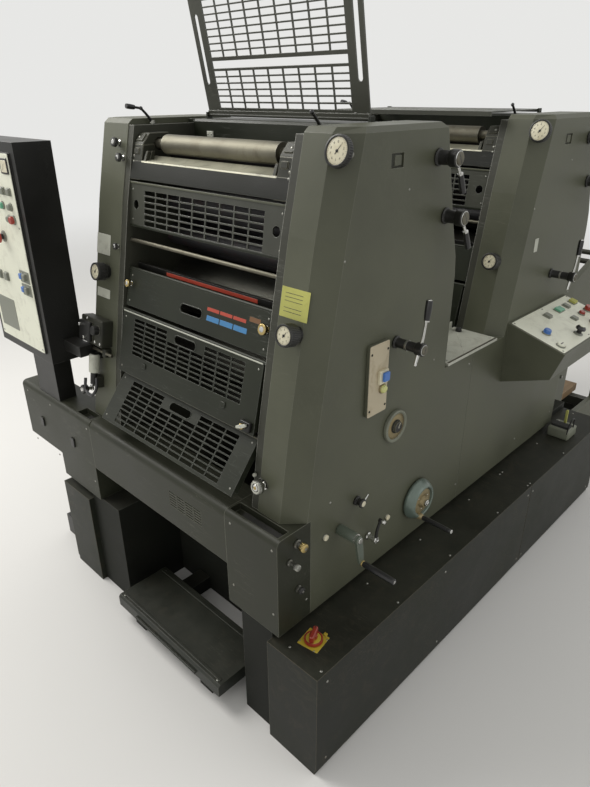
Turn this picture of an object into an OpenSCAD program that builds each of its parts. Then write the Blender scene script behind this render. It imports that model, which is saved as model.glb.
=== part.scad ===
/* [Press] */
// Clear width between the two side frames
bay_w = 640; // [600:1:700]
// Thickness of a side frame plate
frame_t = 25; // [20:1:30]
// Depth of the operator's side housings, from the side frame to their outer face
housing_d = 131; // [110:1:160]
// Depth of the drive side housings
drive_housing_d = 180; // [150:1:220]
// Distance from one printing unit to the next
unit_pitch = 934; // [900:1:990]
// Width across the leaning bevel of each housing
bevel = 50; // [30:1:60]
/* [Foot] */
// Height of the foot plinths
plinth_h = 374; // [340:1:400]
// Width of a foot plinth
plinth_w = 182; // [150:1:210]
// Length of the foot plinths
plinth_len = 1900; // [1850:1:2000]
// How far a foot plinth reaches out past the housing above it
plinth_out = 149; // [120:1:170]
// Gap between the top of a plinth and the housings
plinth_gap = 28; // [15:1:40]
/* [Delivery] */
// Front face of the delivery boxes, from the plinths' end
box_x = 13; // [5:1:30]
// Length of a delivery box
box_l = 122; // [115:1:125]
// Height of a delivery box
box_h = 312; // [300:1:318]
// Reach of the drive side box past its housing
drive_box_out = 392; // [300:1:440]
// Height of the cross cover over the delivery
cross_h = 178; // [140:1:200]
// Depth of the tool trays
tray_d = 22; // [10:1:30]
// Width of the delivery board
board_w = 550; // [480:1:580]
// Thickness of the delivery board
board_t = 45; // [30:1:50]
/* [Housings] */
// Height of the saddle between the units over the housings' lower edge
saddle_h = 564; // [550:1:580]
// Height of the printing units over the housings' lower edge
unit_h = 1232; // [1180:1:1260]
// Thickness of the sheet metal covers
sheet = 4; // [3:0.5:5]
/* [Rollers] */
// Radius of the fountain roller
fountain_r = 27; // [24:1:28]
// Width of the cheeks that carry the fountain roller
cheek_w = 46; // [36:1:54]
// Radius of the plate, blanket and impression cylinders
cylinder_r = 92; // [80:1:95]
// Radius of the shaft journals
journal_r = 14; // [10:1:18]
/* [Guards] */
// Gap between a guard and the side frames
guard_gap = 7; // [6:1:10]
// Width of the hand holes in the guards
hand_w = 96; // [80:1:110]
// Length of the swing up ink guard
ink_guard_l = 330; // [280:1:335]
// Lean of the open ink guard towards the delivery
ink_guard_lean = 11; // [5:1:20]
// Width of the long slots in the ink guard's arms
arm_slot_w = 16; // [10:1:20]
// Width of the bars of a grid
bar_w = 4; // [3:0.5:6]
/* [Controls] */
// Radius of the hand wheel
wheel_r = 68; // [60:1:80]
// Length of the crank's arm
crank_l = 86; // [75:1:90]
// Length of the short crank's arm
short_crank_l = 62; // [50:1:65]
// Length of the hanging levers
lever_l = 96; // [80:1:105]
// Radius of the white dials
dial_r = 34; // [28:1:36]
// Length of the console along the machine
console_l = 450; // [400:1:520]
/* [Cabinet] */
// Width of the control cabinet, along the machine
cabinet_w = 118; // [90:1:125]
// Length of the control cabinet, across the machine
cabinet_l = 380; // [340:1:420]
// Height of the control cabinet
cabinet_h = 685; // [600:1:720]
// Height of its lower edge over the delivery box
cabinet_lift = 176; // [165:1:200]
/* [Feeder] */
// Length of the feeder
feeder_l = 700; // [660:1:800]
// Height of the feeder's side frames
feeder_h = 960; // [940:1:1040]
// Thickness of the feed pile board
pile_board_t = 40; // [30:1:50]
/* [Fits] */
// Running gap at pins and journals
run_gap = 0.3; // [0.2:0.05:0.5]

/* [Hidden] */
$fn = 48;
origin_x = 1000;
half_bay = bay_w / 2;
frame_y = half_bay + frame_t;
side_y = frame_y + housing_d;
drive_side_y = frame_y + drive_housing_d;
plinth_y = side_y + plinth_out;
drive_plinth_y = drive_side_y + plinth_out;
base_z = plinth_h + plinth_gap;
box_top = base_z + box_h;
saddle_z = base_z + saddle_h;
body_x = box_x + box_l;
unit_rear_x = 742;
machine_end = unit_rear_x + unit_pitch;
guard_w = bay_w - 2 * guard_gap;
rear_r = 20;
top_edge = 12;
well_x = 260;
cheek_x = 20;
rail_h = 55;
joint_seam = 2;
frame_top = unit_h - 16;
frame_in = 2;
rear_in = 12;
top_plate_t = 10;
roller_c = [298, 1166];
roller_l = bay_w - 2 * cheek_w - 88;

// Heights at which the front and the rear of a unit's housing bend
front_bends = [540, 741, 1005];
rear_bends = [836, 890, 989];
// Front line of a unit's housing: pairs of height over the lower edge and distance along the machine
front_line = [[box_h, 72], [front_bends[0], 106], [front_bends[1], 144], [front_bends[2], 196], [unit_h, 250]];
// Rear line of a unit's housing, in the same terms
rear_line = [[box_h, unit_rear_x], [rear_bends[0], unit_rear_x], [rear_bends[1], unit_rear_x - 7],
    [rear_bends[2], unit_rear_x - 39], [unit_h, unit_rear_x - 106]];

function front_at(h) = lookup(h, front_line);
function rear_at(h) = lookup(h, rear_line);

// Plan of a unit's housing at height h, out to y and drawn in by inset,
// anticlockwise from its inner front corner
function housing_plan(h, y, inset) = [
    [front_at(h) + inset, -frame_y],
    [front_at(h) + inset, -y + bevel],
    [front_at(h) + inset + bevel, -y + inset],
    [rear_at(h) - inset - rear_r, -y + inset],
    [rear_at(h) - inset, -y + inset + rear_r],
    [rear_at(h) - inset, -frame_y]];

function ring_at(h, y, inset) = [for (p = housing_plan(h, y, inset)) [p[0], p[1], base_z + h]];

// Skin through rings of n points each, given from the bottom up
module loft(rings) {
    n = len(rings[0]);
    m = len(rings);
    bottom = [[for (j = [0:n - 1]) j]];
    top = [[for (j = [n - 1:-1:0]) (m - 1) * n + j]];
    walls = [for (i = [0:m - 2]) for (j = [0:n - 1])
        [i * n + j, (i + 1) * n + j, (i + 1) * n + (j + 1) % n, i * n + (j + 1) % n]];
    polyhedron(points = [for (r = rings) for (p = r) p], faces = concat(bottom, top, walls));
}

// Stands a shape on the operator's side face: its Z points outwards and its Y up
module on_side(x, h) {
    translate([x, -side_y, base_z + h]) rotate([90, 0, 0]) children();
}

module at_unit(n) {
    translate([n * unit_pitch, 0, 0]) children();
}

// A bar of round section across the machine, centred on the bay
module cross_rod(x, h, r, l) {
    translate([x, l / 2, base_z + h]) rotate([90, 0, 0]) cylinder(r = r, h = l);
}

// A profile drawn in distance along the machine and height over the lower edge, from y0 to y1
module side_slab(points, y0, y1) {
    translate([0, y1, base_z]) rotate([90, 0, 0]) linear_extrude(y1 - y0) polygon(points);
}

// Lays a flat sheet along the line from a to b, both [distance along the machine, height]: the sheet is
// drawn across the machine in X and down the line in Y, and its thickness points outwards
module on_slope(a, b) {
    lean = atan2(a[0] - b[0], a[1] - b[1]);
    translate([a[0], 0, base_z + a[1]]) rotate([0, lean - 90, 0]) rotate([0, 0, 90]) children();
}

// Even slots over a field of w by l whose middle is at y, with bars of bar_w between them
module slot_field(w, l, y, cols, rows) {
    slot_w = (w - (cols - 1) * bar_w) / cols;
    slot_l = (l - (rows - 1) * bar_w) / rows;
    for (i = [0:cols - 1])
        for (j = [0:rows - 1])
            translate([-w / 2 + i * (slot_w + bar_w), y - l / 2 + j * (slot_l + bar_w)])
                square([slot_w, slot_l]);
}

// Oval hand hole whose middle is at y
module hand_hole(y) {
    hole_h = 24;
    for (s = [-1, 1])
        translate([s * (hand_w - hole_h) / 2, y]) circle(d = hole_h);
    translate([-(hand_w - hole_h) / 2, y - hole_h / 2]) square([hand_w - hole_h, hole_h]);
}

// The folded ends of a guard, which reach back into the machine
module guard_ends(l, depth) {
    for (s = [-1, 1])
        translate([s * (guard_w / 2 - sheet / 2) - sheet / 2, 0, -depth]) cube([sheet, l, depth]);
}

// Line of each guard from top to bottom, as distance along the machine and height over the lower edge
plate_line = [[183, 820], [152, 712]];
blanket_line = [[143, 700], [97, 512]];
delivery_line = [[118, 497], [box_x + 1, box_h + 57]];
ink_line = [[222, 1068], [204, 942]];

function line_l(l) = norm(l[0] - l[1]);

// A foot plinth whose outer face is at y
module foot_plinth(y) {
    seam_x = 1190;
    seam_w = 4;
    seam_d = 3;
    toe_d = 6;
    toe_h = 18;
    difference() {
        translate([0, -y, 0]) cube([plinth_len, plinth_w, plinth_h]);
        translate([seam_x, -y - 1, -1]) cube([seam_w, seam_d + 1, plinth_h + 2]);
        translate([-1, -y - 1, -1]) cube([plinth_len + 2, toe_d + 1, toe_h + 1]);
    }
}

module foot_plinth_operator() {
    color("dimgray") foot_plinth(plinth_y);
}

module foot_plinth_drive() {
    color("dimgray") mirror([0, 1, 0]) foot_plinth(drive_plinth_y);
}

bed_y = plinth_y - plinth_w;
drive_bed_y = drive_plinth_y - plinth_w;

module machine_bed() {
    color("darkslategray") translate([well_x, -bed_y, 0])
        cube([plinth_len - well_x, bed_y + drive_bed_y, base_z]);
}

module delivery_well_rails() {
    rail_w = 60;
    rail_x = -30;
    l = well_x - cheek_x;
    color("darkslategray") {
        translate([cheek_x, -bed_y, 0]) cube([l, bed_y - half_bay, base_z]);
        translate([cheek_x, half_bay, 0]) cube([l, drive_bed_y - half_bay, base_z]);
        for (s = [-1, 1])
            translate([rail_x, s * board_w / 3 - rail_w / 2, 0]) cube([well_x - rail_x, rail_w, rail_h]);
    }
}

module delivery_board() {
    corner = 8;
    board_l = 200;
    bail_r = 4;
    color("dimgray") {
        translate([-50, -board_w / 2, rail_h]) {
            difference() {
                cube([board_l, board_w, board_t]);
                translate([-1, -1, board_t - corner]) rotate([0, 45, 0]) translate([-corner * 2, 0, 0])
                    cube([corner * 2, board_w + 2, corner * 2]);
            }
            translate([-bail_r, board_w * 0.2, board_t * 0.4]) rotate([-90, 0, 0])
                cylinder(r = bail_r, h = board_w * 0.6);
        }
    }
}

// Outline of a side frame's tower at unit n, from its foot at the front over the top to the rear
function tower_line(n, foot) = concat(
    [for (h = foot) [front_at(h) + frame_in + n * unit_pitch, h]],
    [for (h = [front_bends[1], front_bends[2], frame_top]) [front_at(h) + frame_in + n * unit_pitch, h]],
    [for (h = [frame_top, rear_bends[2], rear_bends[0], saddle_h - rear_in])
        [rear_at(h) - rear_in + n * unit_pitch, h]]);

module side_frame() {
    x0 = body_x + run_gap;
    seat = box_h + run_gap;
    side_slab(concat([[x0, 0], [x0, seat]], tower_line(0, [seat, front_bends[0]]),
        tower_line(1, [saddle_h - rear_in]), [[machine_end - rear_in, 0]]), -frame_y, -half_bay);
}

module side_frame_operator() {
    color("gray") side_frame();
}

module side_frame_drive() {
    color("gray") mirror([0, 1, 0]) side_frame();
}

// The upper part of a unit's housing, out to y
module housing_tower(y) {
    bends = [box_h, front_bends[0], front_bends[1], rear_bends[0], rear_bends[1], rear_bends[2],
        front_bends[2]];
    loft(concat([for (h = bends) ring_at(h, y, 0)],
        [ring_at(unit_h - top_edge, y, 0), ring_at(unit_h, y, top_edge)]));
}

saddle_floor = saddle_h - sheet * 3;
saddle_mid = unit_rear_x + (unit_pitch + front_at(saddle_floor) - unit_rear_x) / 2;

module housing_2(y) {
    x1 = saddle_mid - joint_seam / 2;
    in = bevel + 5;
    side_slab([[body_x, 0], [x1, 0], [x1, saddle_floor], [front_at(saddle_floor) + in, saddle_floor],
        [front_at(box_h) + in, box_h], [body_x, box_h]], -y, -frame_y);
    housing_tower(y);
}

module housing_1(y) {
    x0 = saddle_mid + joint_seam / 2;
    side_slab([[x0, 0], [machine_end, 0], [machine_end, saddle_floor], [x0, saddle_floor]], -y, -frame_y);
    at_unit(1) housing_tower(y);
}

module window_recess(n) {
    at_unit(n) on_side(392, 1142) translate([0, 0, -6]) cube([48, 32, 20]);
}

module operator_housing_2() {
    color("slategray") difference() {
        housing_2(side_y);
        window_recess(0);
    }
}

module operator_housing_1() {
    color("slategray") difference() {
        housing_1(side_y);
        window_recess(1);
    }
}

module drive_housing_2() {
    color("slategray") mirror([0, 1, 0]) housing_2(drive_side_y);
}

module drive_housing_1() {
    color("slategray") mirror([0, 1, 0]) housing_1(drive_side_y);
}

// Delivery box with a rounded top front edge, from y0 to y1
module rounded_box(y0, y1, z0, edge_r) {
    translate([0, y1, 0]) rotate([90, 0, 0]) linear_extrude(y1 - y0) {
        translate([box_x, z0]) square([box_l, box_top - edge_r - z0]);
        translate([box_x + edge_r, box_top - edge_r - 1]) square([box_l - edge_r, edge_r + 1]);
        translate([box_x + edge_r, box_top - edge_r]) circle(edge_r);
    }
}

tray_rim = 6;
tray_front = box_x + 16;
tray_l = front_at(box_h) - tray_rim - tray_front;
near_box_in = 68;
far_box_in = frame_y + 77;

module delivery_box_operator() {
    y1 = -frame_y + near_box_in;
    color("slategray") difference() {
        rounded_box(-side_y, y1, base_z, 18);
        translate([tray_front, -side_y + tray_rim * 2, box_top - tray_d])
            cube([tray_l, y1 + side_y - 3 * tray_rim, tray_d + 1]);
    }
}

module delivery_box_drive() {
    y1 = drive_side_y + drive_box_out;
    shallow = 90;
    color("slategray") difference() {
        rounded_box(far_box_in, y1, base_z, 18);
        translate([box_x - 1, drive_plinth_y, base_z - 1])
            cube([box_l + 2, drive_box_out, shallow + 1]);
        translate([tray_front, far_box_in + tray_rim * 2, box_top - tray_d])
            cube([tray_l, drive_side_y - far_box_in - 3 * tray_rim, tray_d + 1]);
    }
}

module delivery_cross_cover() {
    y0 = -frame_y + near_box_in;
    vent_p = 39;
    vent_h = 5;
    color("slategray") difference() {
        rounded_box(y0, far_box_in, box_top - cross_h, 24);
        for (i = [0:5])
            for (j = [0:3])
                translate([box_x - 1, -half_bay + 147 + j * vent_p, box_top - 110 + i * vent_h * 1.8])
                    cube([8, vent_p - 5, vent_h]);
    }
}

module saddle_tray() {
    x0 = unit_rear_x;
    l = unit_pitch + front_at(saddle_floor) - x0;
    inner = -guard_w / 2 - 1;
    lip = 22;
    color("gainsboro") {
        translate([x0, -side_y, base_z + saddle_floor]) cube([l, inner + side_y, sheet * 2]);
        translate([x0, inner - sheet, saddle_z - sheet]) cube([l - 6 * sheet, sheet, lip + sheet]);
    }
}

hinge_r = 5;
hinge_gap = 6;
hinge = [520, frame_top + top_plate_t + hinge_r + hinge_gap];
bracket_y = guard_w / 2 + run_gap;
hood_x = hinge[0] - 60;

// Hood behind the rollers: an upright front wall and a top plate, on the side frames
module unit_top_covers() {
    wall_h = 90;
    bracket_t = 6;
    lip = 6;
    rear = rear_at(frame_top) - rear_in;
    plate_h = frame_top + top_plate_t;
    color("dimgray") for (n = [0, 1]) at_unit(n) {
        side_slab([[hood_x, plate_h - lip], [hood_x, unit_h - wall_h], [hood_x + sheet, unit_h - wall_h],
            [hood_x + sheet, frame_top], [rear, frame_top], [rear, plate_h],
            [hood_x + lip, plate_h]], -half_bay, half_bay);
        for (s = [-1, 1]) {
            translate([hood_x, s * (half_bay + frame_t / 2) - frame_t / 2, base_z + frame_top])
                cube([rear - hood_x, frame_t, top_plate_t]);
            translate([hinge[0] - 10, s * (bracket_y + bracket_t / 2) - bracket_t / 2, base_z + plate_h])
                cube([20, bracket_t, hinge[1] - plate_h + hinge_r + 2]);
        }
    }
}

module unit_back_covers() {
    cover_in = rear_in + 4;
    cover_t = 8;
    bridge_t = 12;
    x1 = unit_pitch + front_at(saddle_h) + 40;
    color("dimgray") for (n = [0, 1]) at_unit(n)
        side_slab(concat(
            [for (h = [saddle_h - 60, rear_bends[0], rear_bends[1], rear_bends[2], frame_top])
                [rear_at(h) - cover_in, h]],
            [for (h = [frame_top, rear_bends[2], rear_bends[1], rear_bends[0], saddle_h - 60])
                [rear_at(h) - cover_in - cover_t, h]]), -half_bay, half_bay);
    // Cover over the transfer between the units
    color("dimgray") side_slab([[unit_rear_x - cover_in - cover_t, saddle_h - 60 - bridge_t],
        [x1, saddle_h - 60 - bridge_t], [x1, saddle_h - 60],
        [unit_rear_x - cover_in - cover_t, saddle_h - 60]], -half_bay, half_bay);
}

module ink_grille() {
    l = line_l(ink_line);
    on_slope(ink_line[0], ink_line[1]) linear_extrude(sheet) difference() {
        translate([-half_bay, 0]) square([bay_w, l]);
        slot_field(bay_w * 0.78, l * 0.76, l * 0.55, 9, 6);
        for (s = [-1, 1])
            translate([s * (half_bay - 28), l / 2]) circle(13);
    }
    cross_rod(ink_line[1][0] - 7, ink_line[1][1] - 39, 5, bay_w);
}

module ink_grilles() {
    color("darkslategray") for (n = [0, 1]) at_unit(n) ink_grille();
}

duct_h = 1074;
duct_front = [[214, duct_h + 2], [229, 1120], [231, 1124], [262, 1126], [279, 1134], [284, 1134], [300, 1118],
    [330, 1118], [330, duct_h]];

// Wedge lever on top of a side frame: a boss and a leaning arm, which bends over to a grip where it is long
module wedge_lever(long) {
    arm_r = 4;
    arm_l = 52;
    cylinder(r = 8, h = 10);
    translate([0, 0, 4]) rotate([0, -42, 0]) {
        cylinder(r = arm_r, h = arm_l);
        translate([0, 0, arm_l]) sphere(arm_r * 1.25);
        if (long)
            translate([0, 0, arm_l]) rotate([0, -40, 0]) {
                cylinder(r = arm_r - 0.5, h = 26);
                translate([0, 0, 24]) cylinder(r = 7, h = 24);
            }
    }
}

module ink_duct() {
    side_slab(duct_front, -half_bay, half_bay);
    cheek_top = roller_c[1] + fountain_r + 3;
    for (s = [-1, 1]) {
        y0 = s > 0 ? half_bay - cheek_w : -half_bay;
        difference() {
            side_slab([[front_at(duct_h) + 8, duct_h], [front_at(1170) + 8, 1170], [268, cheek_top],
                [roller_c[0] + 34, cheek_top], [roller_c[0] + 34, duct_h]], y0, y0 + cheek_w);
            cross_rod(roller_c[0], roller_c[1], journal_r + 3, bay_w + 2);
        }
        translate([roller_c[0] + 22, s * (half_bay + frame_t / 2), base_z + frame_top]) wedge_lever(s > 0);
    }
}

module ink_ducts() {
    color("silver") for (n = [0, 1]) at_unit(n) ink_duct();
}

module fountain_roller() {
    cross_rod(roller_c[0], roller_c[1], fountain_r, roller_l);
    cross_rod(roller_c[0], roller_c[1], journal_r, bay_w - 2 * run_gap);
}

module fountain_roller_2() {
    color("lightgray") fountain_roller();
}

module fountain_roller_1() {
    color("lightgray") at_unit(1) fountain_roller();
}

// Rollers of the inker: distance along the machine, height and radius
inker = [[366, 1134, 22], [424, 1132, 28],
    [350, 1010, 34], [432, 1056, 40], [438, 960, 44], [520, 1010, 36], [348, 900, 30],
    [420, 860, 30], [505, 880, 30]];
// Plate, blanket and impression cylinder
cylinders = [[400, 730], [410, 540], [470, 330]];

// A roller with its journals, seated on both side frames
module carried_roller(x, h, r) {
    cross_rod(x, h, r, bay_w - 30);
    cross_rod(x, h, journal_r, bay_w);
}

module ink_rollers() {
    color("dimgray") for (n = [0, 1]) at_unit(n)
        for (p = inker) carried_roller(p[0], p[1], p[2]);
}

module press_cylinders() {
    color("silver") for (n = [0, 1]) at_unit(n)
        for (p = cylinders) carried_roller(p[0], p[1], cylinder_r);
}

// A guard that swings on a pin along its upper edge. Its slots fill a field of the given length from the
// distance top down, and leave a plain patch of three columns and two rows around the hand hole
module swing_guard(line, rows, top, field, hole_y) {
    l = line_l(line);
    pin_r = 5;
    cols = 9;
    w = bay_w * 0.78;
    patch_w = w / 3 + bar_w;
    on_slope(line[0], line[1]) {
        linear_extrude(sheet) difference() {
            translate([-guard_w / 2, 0]) square([guard_w, l]);
            if (rows > 0)
                difference() {
                    slot_field(w, field, top + field / 2, cols, rows);
                    translate([-patch_w / 2, top - 1]) square([patch_w, 2 * field / rows]);
                }
            hand_hole(hole_y);
        }
        guard_ends(l - 12, 16);
    }
    cross_rod(line[0][0], line[0][1], pin_r, bay_w - 2 * run_gap);
}

module plate_swing() {
    swing_guard(plate_line, 0, 0, 0, line_l(plate_line) * 0.58);
}

module blanket_swing() {
    swing_guard(blanket_line, 8, 16, 112, 30);
}

module plate_guard() {
    color("darkslategray") plate_swing();
}

module blanket_guard() {
    color("darkslategray") blanket_swing();
}

module delivery_guard() {
    color("darkslategray") swing_guard(delivery_line, 9, 17, line_l(delivery_line) - 27, 31);
}

module unit_1_guards() {
    color("darkslategray") at_unit(1) {
        plate_swing();
        blanket_swing();
    }
}

// Grid guard over the rollers, drawn from its hinge outwards
module ink_guard_panel() {
    w = guard_w;
    arm_w = 46;
    grid_w = w - 2 * arm_w - 20;
    slot_l = ink_guard_l * 0.5;
    rail_w = 14;
    low_c = ink_guard_l * 0.21;
    high_c = ink_guard_l * 0.71;
    linear_extrude(sheet) difference() {
        translate([-w / 2, 10]) square([w, ink_guard_l - 10]);
        slot_field(grid_w, ink_guard_l * 0.30, low_c, 9, 6);
        slot_field(grid_w, ink_guard_l * 0.48, high_c, 9, 9);
        translate([-grid_w / 2, ink_guard_l * 0.38]) square([grid_w, ink_guard_l * 0.06]);
        for (s = [-1, 1]) {
            translate([s * (w / 2 - arm_w / 2) - arm_slot_w / 2, ink_guard_l * 0.28])
                square([arm_slot_w, slot_l]);
            for (e = [0, 1])
                translate([s * (w / 2 - arm_w / 2), ink_guard_l * 0.28 + e * slot_l])
                    circle(d = arm_slot_w);
        }
    }
    translate([run_gap - bracket_y, 0, 0]) rotate([0, 90, 0])
        cylinder(r = hinge_r, h = 2 * (bracket_y - run_gap));
    for (s = [-1, 1])
        translate([s * (w / 2 - arm_w) - 4, 0, -2]) cube([8, 14, sheet + 2]);
    translate([-w / 2, -2, -hinge_r + 1]) cube([w, 14, hinge_r - 1 + sheet]);
    translate([-w / 2, ink_guard_l - rail_w / 2, -rail_w + sheet]) cube([w, rail_w / 2, rail_w]);
}

// Turns the panel about its hinge: 0 lies flat towards the delivery, 90 stands upright
module ink_guard(angle) {
    translate([hinge[0], 0, base_z + hinge[1]]) rotate([0, angle, 0]) rotate([0, 0, 90]) ink_guard_panel();
}

module ink_guard_open() {
    color("dimgray") ink_guard(90 - ink_guard_lean);
}

module ink_guard_closed() {
    color("dimgray") at_unit(1) ink_guard(0);
}

// A lever on a round hub that stands out from the side face
module hub_lever(hub_r, hub_l, angle, l, grip_r) {
    arm_r = 5;
    translate([0, 0, run_gap]) cylinder(r = hub_r, h = hub_l - run_gap);
    translate([0, 0, hub_l]) cylinder(r = hub_r - 4, h = 4);
    translate([0, 0, hub_l - 12]) rotate([0, 0, angle]) rotate([0, 90, 0]) {
        cylinder(r = arm_r, h = l);
        translate([0, 0, l * 0.45]) cylinder(r = grip_r, h = l * 0.55);
    }
}

upper_hub = [584, unit_h - 78];
lower_hub = [640, unit_h - 224];
impression_hub = [456, 711];
hang = -62;

module upper_lever(n) {
    color("black") at_unit(n) on_side(upper_hub[0], upper_hub[1]) hub_lever(21, 58, hang, lever_l, 8);
}

module lower_lever(n) {
    color("black") at_unit(n) on_side(lower_hub[0], lower_hub[1]) hub_lever(21, 58, hang, lever_l, 8);
}

module impression_lever(n) {
    tail_l = 42;
    color("black") at_unit(n) on_side(impression_hub[0], impression_hub[1]) {
        hub_lever(17, 88, 82, lever_l + 34, 9);
        translate([0, 0, 74]) rotate([0, 0, -110]) rotate([0, 90, 0]) cylinder(r = 6, h = tail_l);
    }
}

module upper_lever_2() {
    upper_lever(0);
}

module lower_lever_2() {
    lower_lever(0);
}

module impression_lever_2() {
    impression_lever(0);
}

module upper_lever_1() {
    upper_lever(1);
}

module lower_lever_1() {
    lower_lever(1);
}

module impression_lever_1() {
    impression_lever(1);
}

wheel_c = [622, 138];
crank_c = [248, 225];
short_crank_c = [379, 128];

module hand_wheel() {
    rim_t = 14;
    depth = 40;
    color("lightsteelblue") on_side(wheel_c[0], wheel_c[1]) {
        translate([0, 0, run_gap]) cylinder(r = 20, h = depth - run_gap);
        translate([0, 0, depth - 14]) cylinder(r = wheel_r - 6, h = 8);
        translate([0, 0, depth - 10]) rotate_extrude() translate([wheel_r - rim_t / 2, 0]) circle(rim_t / 2);
        translate([-14, -wheel_r * 0.72, depth - 10]) cylinder(r = 8, h = 118);
    }
}

module crank() {
    arm_z = 62;
    color("black") on_side(crank_c[0], crank_c[1]) {
        translate([0, 0, run_gap]) cylinder(r = 15, h = arm_z + 14 - run_gap);
        rotate([0, 0, -80]) {
            translate([0, -9, arm_z]) cube([crank_l, 18, 12]);
            translate([crank_l, 0, arm_z]) cylinder(r = 9, h = 12);
            translate([crank_l, 0, arm_z + 12]) cylinder(r = 9.5, h = 108);
        }
    }
}

module short_crank() {
    arm_z = 28;
    color("black") on_side(short_crank_c[0], short_crank_c[1]) {
        translate([0, 0, run_gap]) cylinder(r = 12, h = arm_z + 8 - run_gap);
        rotate([0, 0, 74]) {
            translate([0, -6, arm_z]) cube([short_crank_l, 12, 8]);
            translate([short_crank_l, 0, arm_z]) cylinder(r = 6, h = 8);
            translate([short_crank_l, 0, arm_z + 8]) cylinder(r = 7, h = 14);
        }
    }
}

module main_switch() {
    color("firebrick") translate([90, -plinth_y + 95, plinth_h + run_gap]) {
        cylinder(r = 26, h = 12);
        translate([-24, -7, 10]) cube([48, 14, 22]);
    }
}

// How far the front line leans back for each unit of height, at height h
function lean_at(h) = (front_at(h + 5) - front_at(h - 5)) / 10;

// A drum shaped dial that stands square to a housing's front face at y: its stem starts behind the face by
// back, and its face lies out in front of it
module front_dial(h, y, r, stem_r, back, out) {
    drum_t = min(out - 2, 38);
    translate([front_at(h), y, base_z + h]) rotate([0, atan2(1, lean_at(h)), 180]) {
        translate([0, 0, -back]) cylinder(r = stem_r, h = out + back - drum_t);
        translate([0, 0, out - drum_t]) cylinder(r = r, h = drum_t);
    }
}

module scale_dials() {
    top_in = 13;
    top_stem = 10;
    top_back = bevel - top_in - top_stem - 1;
    color("gainsboro") for (n = [0, 1]) at_unit(n) {
        front_dial(unit_h - 47, -side_y + top_in, dial_r, top_stem, top_back, 22);
        front_dial(796, -frame_y - 65, dial_r - 6, dial_r - 13, 0, 46);
        front_dial(796, frame_y + 65, dial_r - 6, dial_r - 13, 0, 46);
    }
}

module side_controls() {
    ring_c = [475, 456];
    plate_x = 335;
    plate_h = 534;
    color("gainsboro") {
        on_side(plate_x, plate_h) cube([80, 199, 12]);
        on_side(plate_x + 44, plate_h + 92) cube([26, 28, 28]);
        on_side(plate_x + 56, plate_h + 70) cylinder(r = 12, h = 26);
        on_side(ring_c[0], ring_c[1]) {
            difference() {
                cylinder(r = 48, h = 12);
                translate([0, 0, 6]) cylinder(r = 38, h = 7);
            }
            cylinder(r = 22, h = 18);
        }
        on_side(320, 282) cylinder(r = 14, h = 26);
        on_side(191, 229) cylinder(r = 10, h = 8);
        on_side(473, 142) cylinder(r = 10, h = 8);
        on_side(83, 272) cylinder(r = 12, h = 32);
        on_side(55, 229) cylinder(r = 9, h = 36);
        on_side(86, 123) cylinder(r = 10, h = 20);
    }
}

console_x = unit_pitch + 177;

module console() {
    out = 203;
    color("gainsboro") translate([console_x, 0, 0]) rotate([90, 0, 90]) linear_extrude(console_l)
        polygon([[-side_y, base_z + 595], [-side_y - out, base_z + 535], [-side_y - out + 34, base_z + 437],
            [-side_y, base_z + 378]]);
}

cabinet_x = -10;
cabinet_y = drive_side_y + 30;

module control_cabinet() {
    edge = 5;
    color("black") translate([cabinet_x, cabinet_y, box_top + cabinet_lift]) {
        cube([cabinet_w, cabinet_l, cabinet_h]);
        translate([-edge, 30, 30]) cube([edge, cabinet_l - 60, cabinet_h - 60]);
    }
}

module cabinet_carrier() {
    post_w = 64;
    arm_h = 545;
    arm_y = drive_side_y - bevel - 24;
    arm_end = front_at(arm_h - 14);
    color("black") {
        translate([24, cabinet_y + 80, box_top]) cube([post_w, 150, cabinet_lift]);
        translate([40, arm_y, base_z + arm_h - 18]) cube([44, cabinet_y - arm_y, 36]);
        translate([60, arm_y, base_z + arm_h - 14]) cube([arm_end - 60, 22, 14]);
    }
}

module foot_pedal() {
    color("gray") translate([1600, -plinth_y + 40, plinth_h]) {
        cube([90, 90, 46]);
        translate([10, 8, 46]) cube([40, 74, 12]);
        translate([62, 38, 46]) rotate([0, 24, 0]) cube([7, 12, 60]);
    }
}

module drive_motor() {
    y0 = drive_plinth_y + 20;
    color("black") {
        translate([60, y0, 0]) cube([300, 170, 90]);
        translate([80, y0 + 85, 160]) rotate([0, 90, 0]) cylinder(r = 76, h = 240);
        for (i = [0:7])
            translate([100 + i * 26, y0 + 85, 160]) rotate([0, 90, 0]) cylinder(r = 82, h = 8);
        translate([120, drive_plinth_y, 130]) cube([60, 40, 60]);
    }
}

feeder_x = plinth_len;

feeder_y = frame_y + 20;
tie_z = 140;
tie_h = 50;
window_z = 200;

module feeder_side() {
    leg = 110;
    translate([0, -feeder_y, 0]) rotate([90, 0, 0]) linear_extrude(frame_t) difference() {
        polygon([[feeder_x, 0], [feeder_x, base_z + 560], [feeder_x + 170, feeder_h + 60],
            [feeder_x + feeder_l - 120, feeder_h + 60], [feeder_x + feeder_l, feeder_h - 80],
            [feeder_x + feeder_l, 0]]);
        translate([feeder_x + leg, window_z]) square([feeder_l - 2 * leg, feeder_h - 290 - window_z]);
    }
}

module feeder_side_operator() {
    color("slategray") feeder_side();
}

module feeder_side_drive() {
    color("slategray") mirror([0, 1, 0]) feeder_side();
}

module feeder_ties() {
    color("slategray") {
        for (x = [feeder_x + 30, feeder_x + feeder_l - 60])
            translate([x, -feeder_y, 40]) cube([30, 2 * feeder_y, 60]);
        for (x = [feeder_x + 330, feeder_x + feeder_l - 150])
            translate([x, -feeder_y, tie_z]) cube([40, 2 * feeder_y, tie_h]);
    }
}

module feed_pile_board() {
    color("burlywood") translate([feeder_x + 300, -board_w / 2, tie_z + tie_h])
        cube([feeder_l - 360, board_w, pile_board_t]);
}

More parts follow.
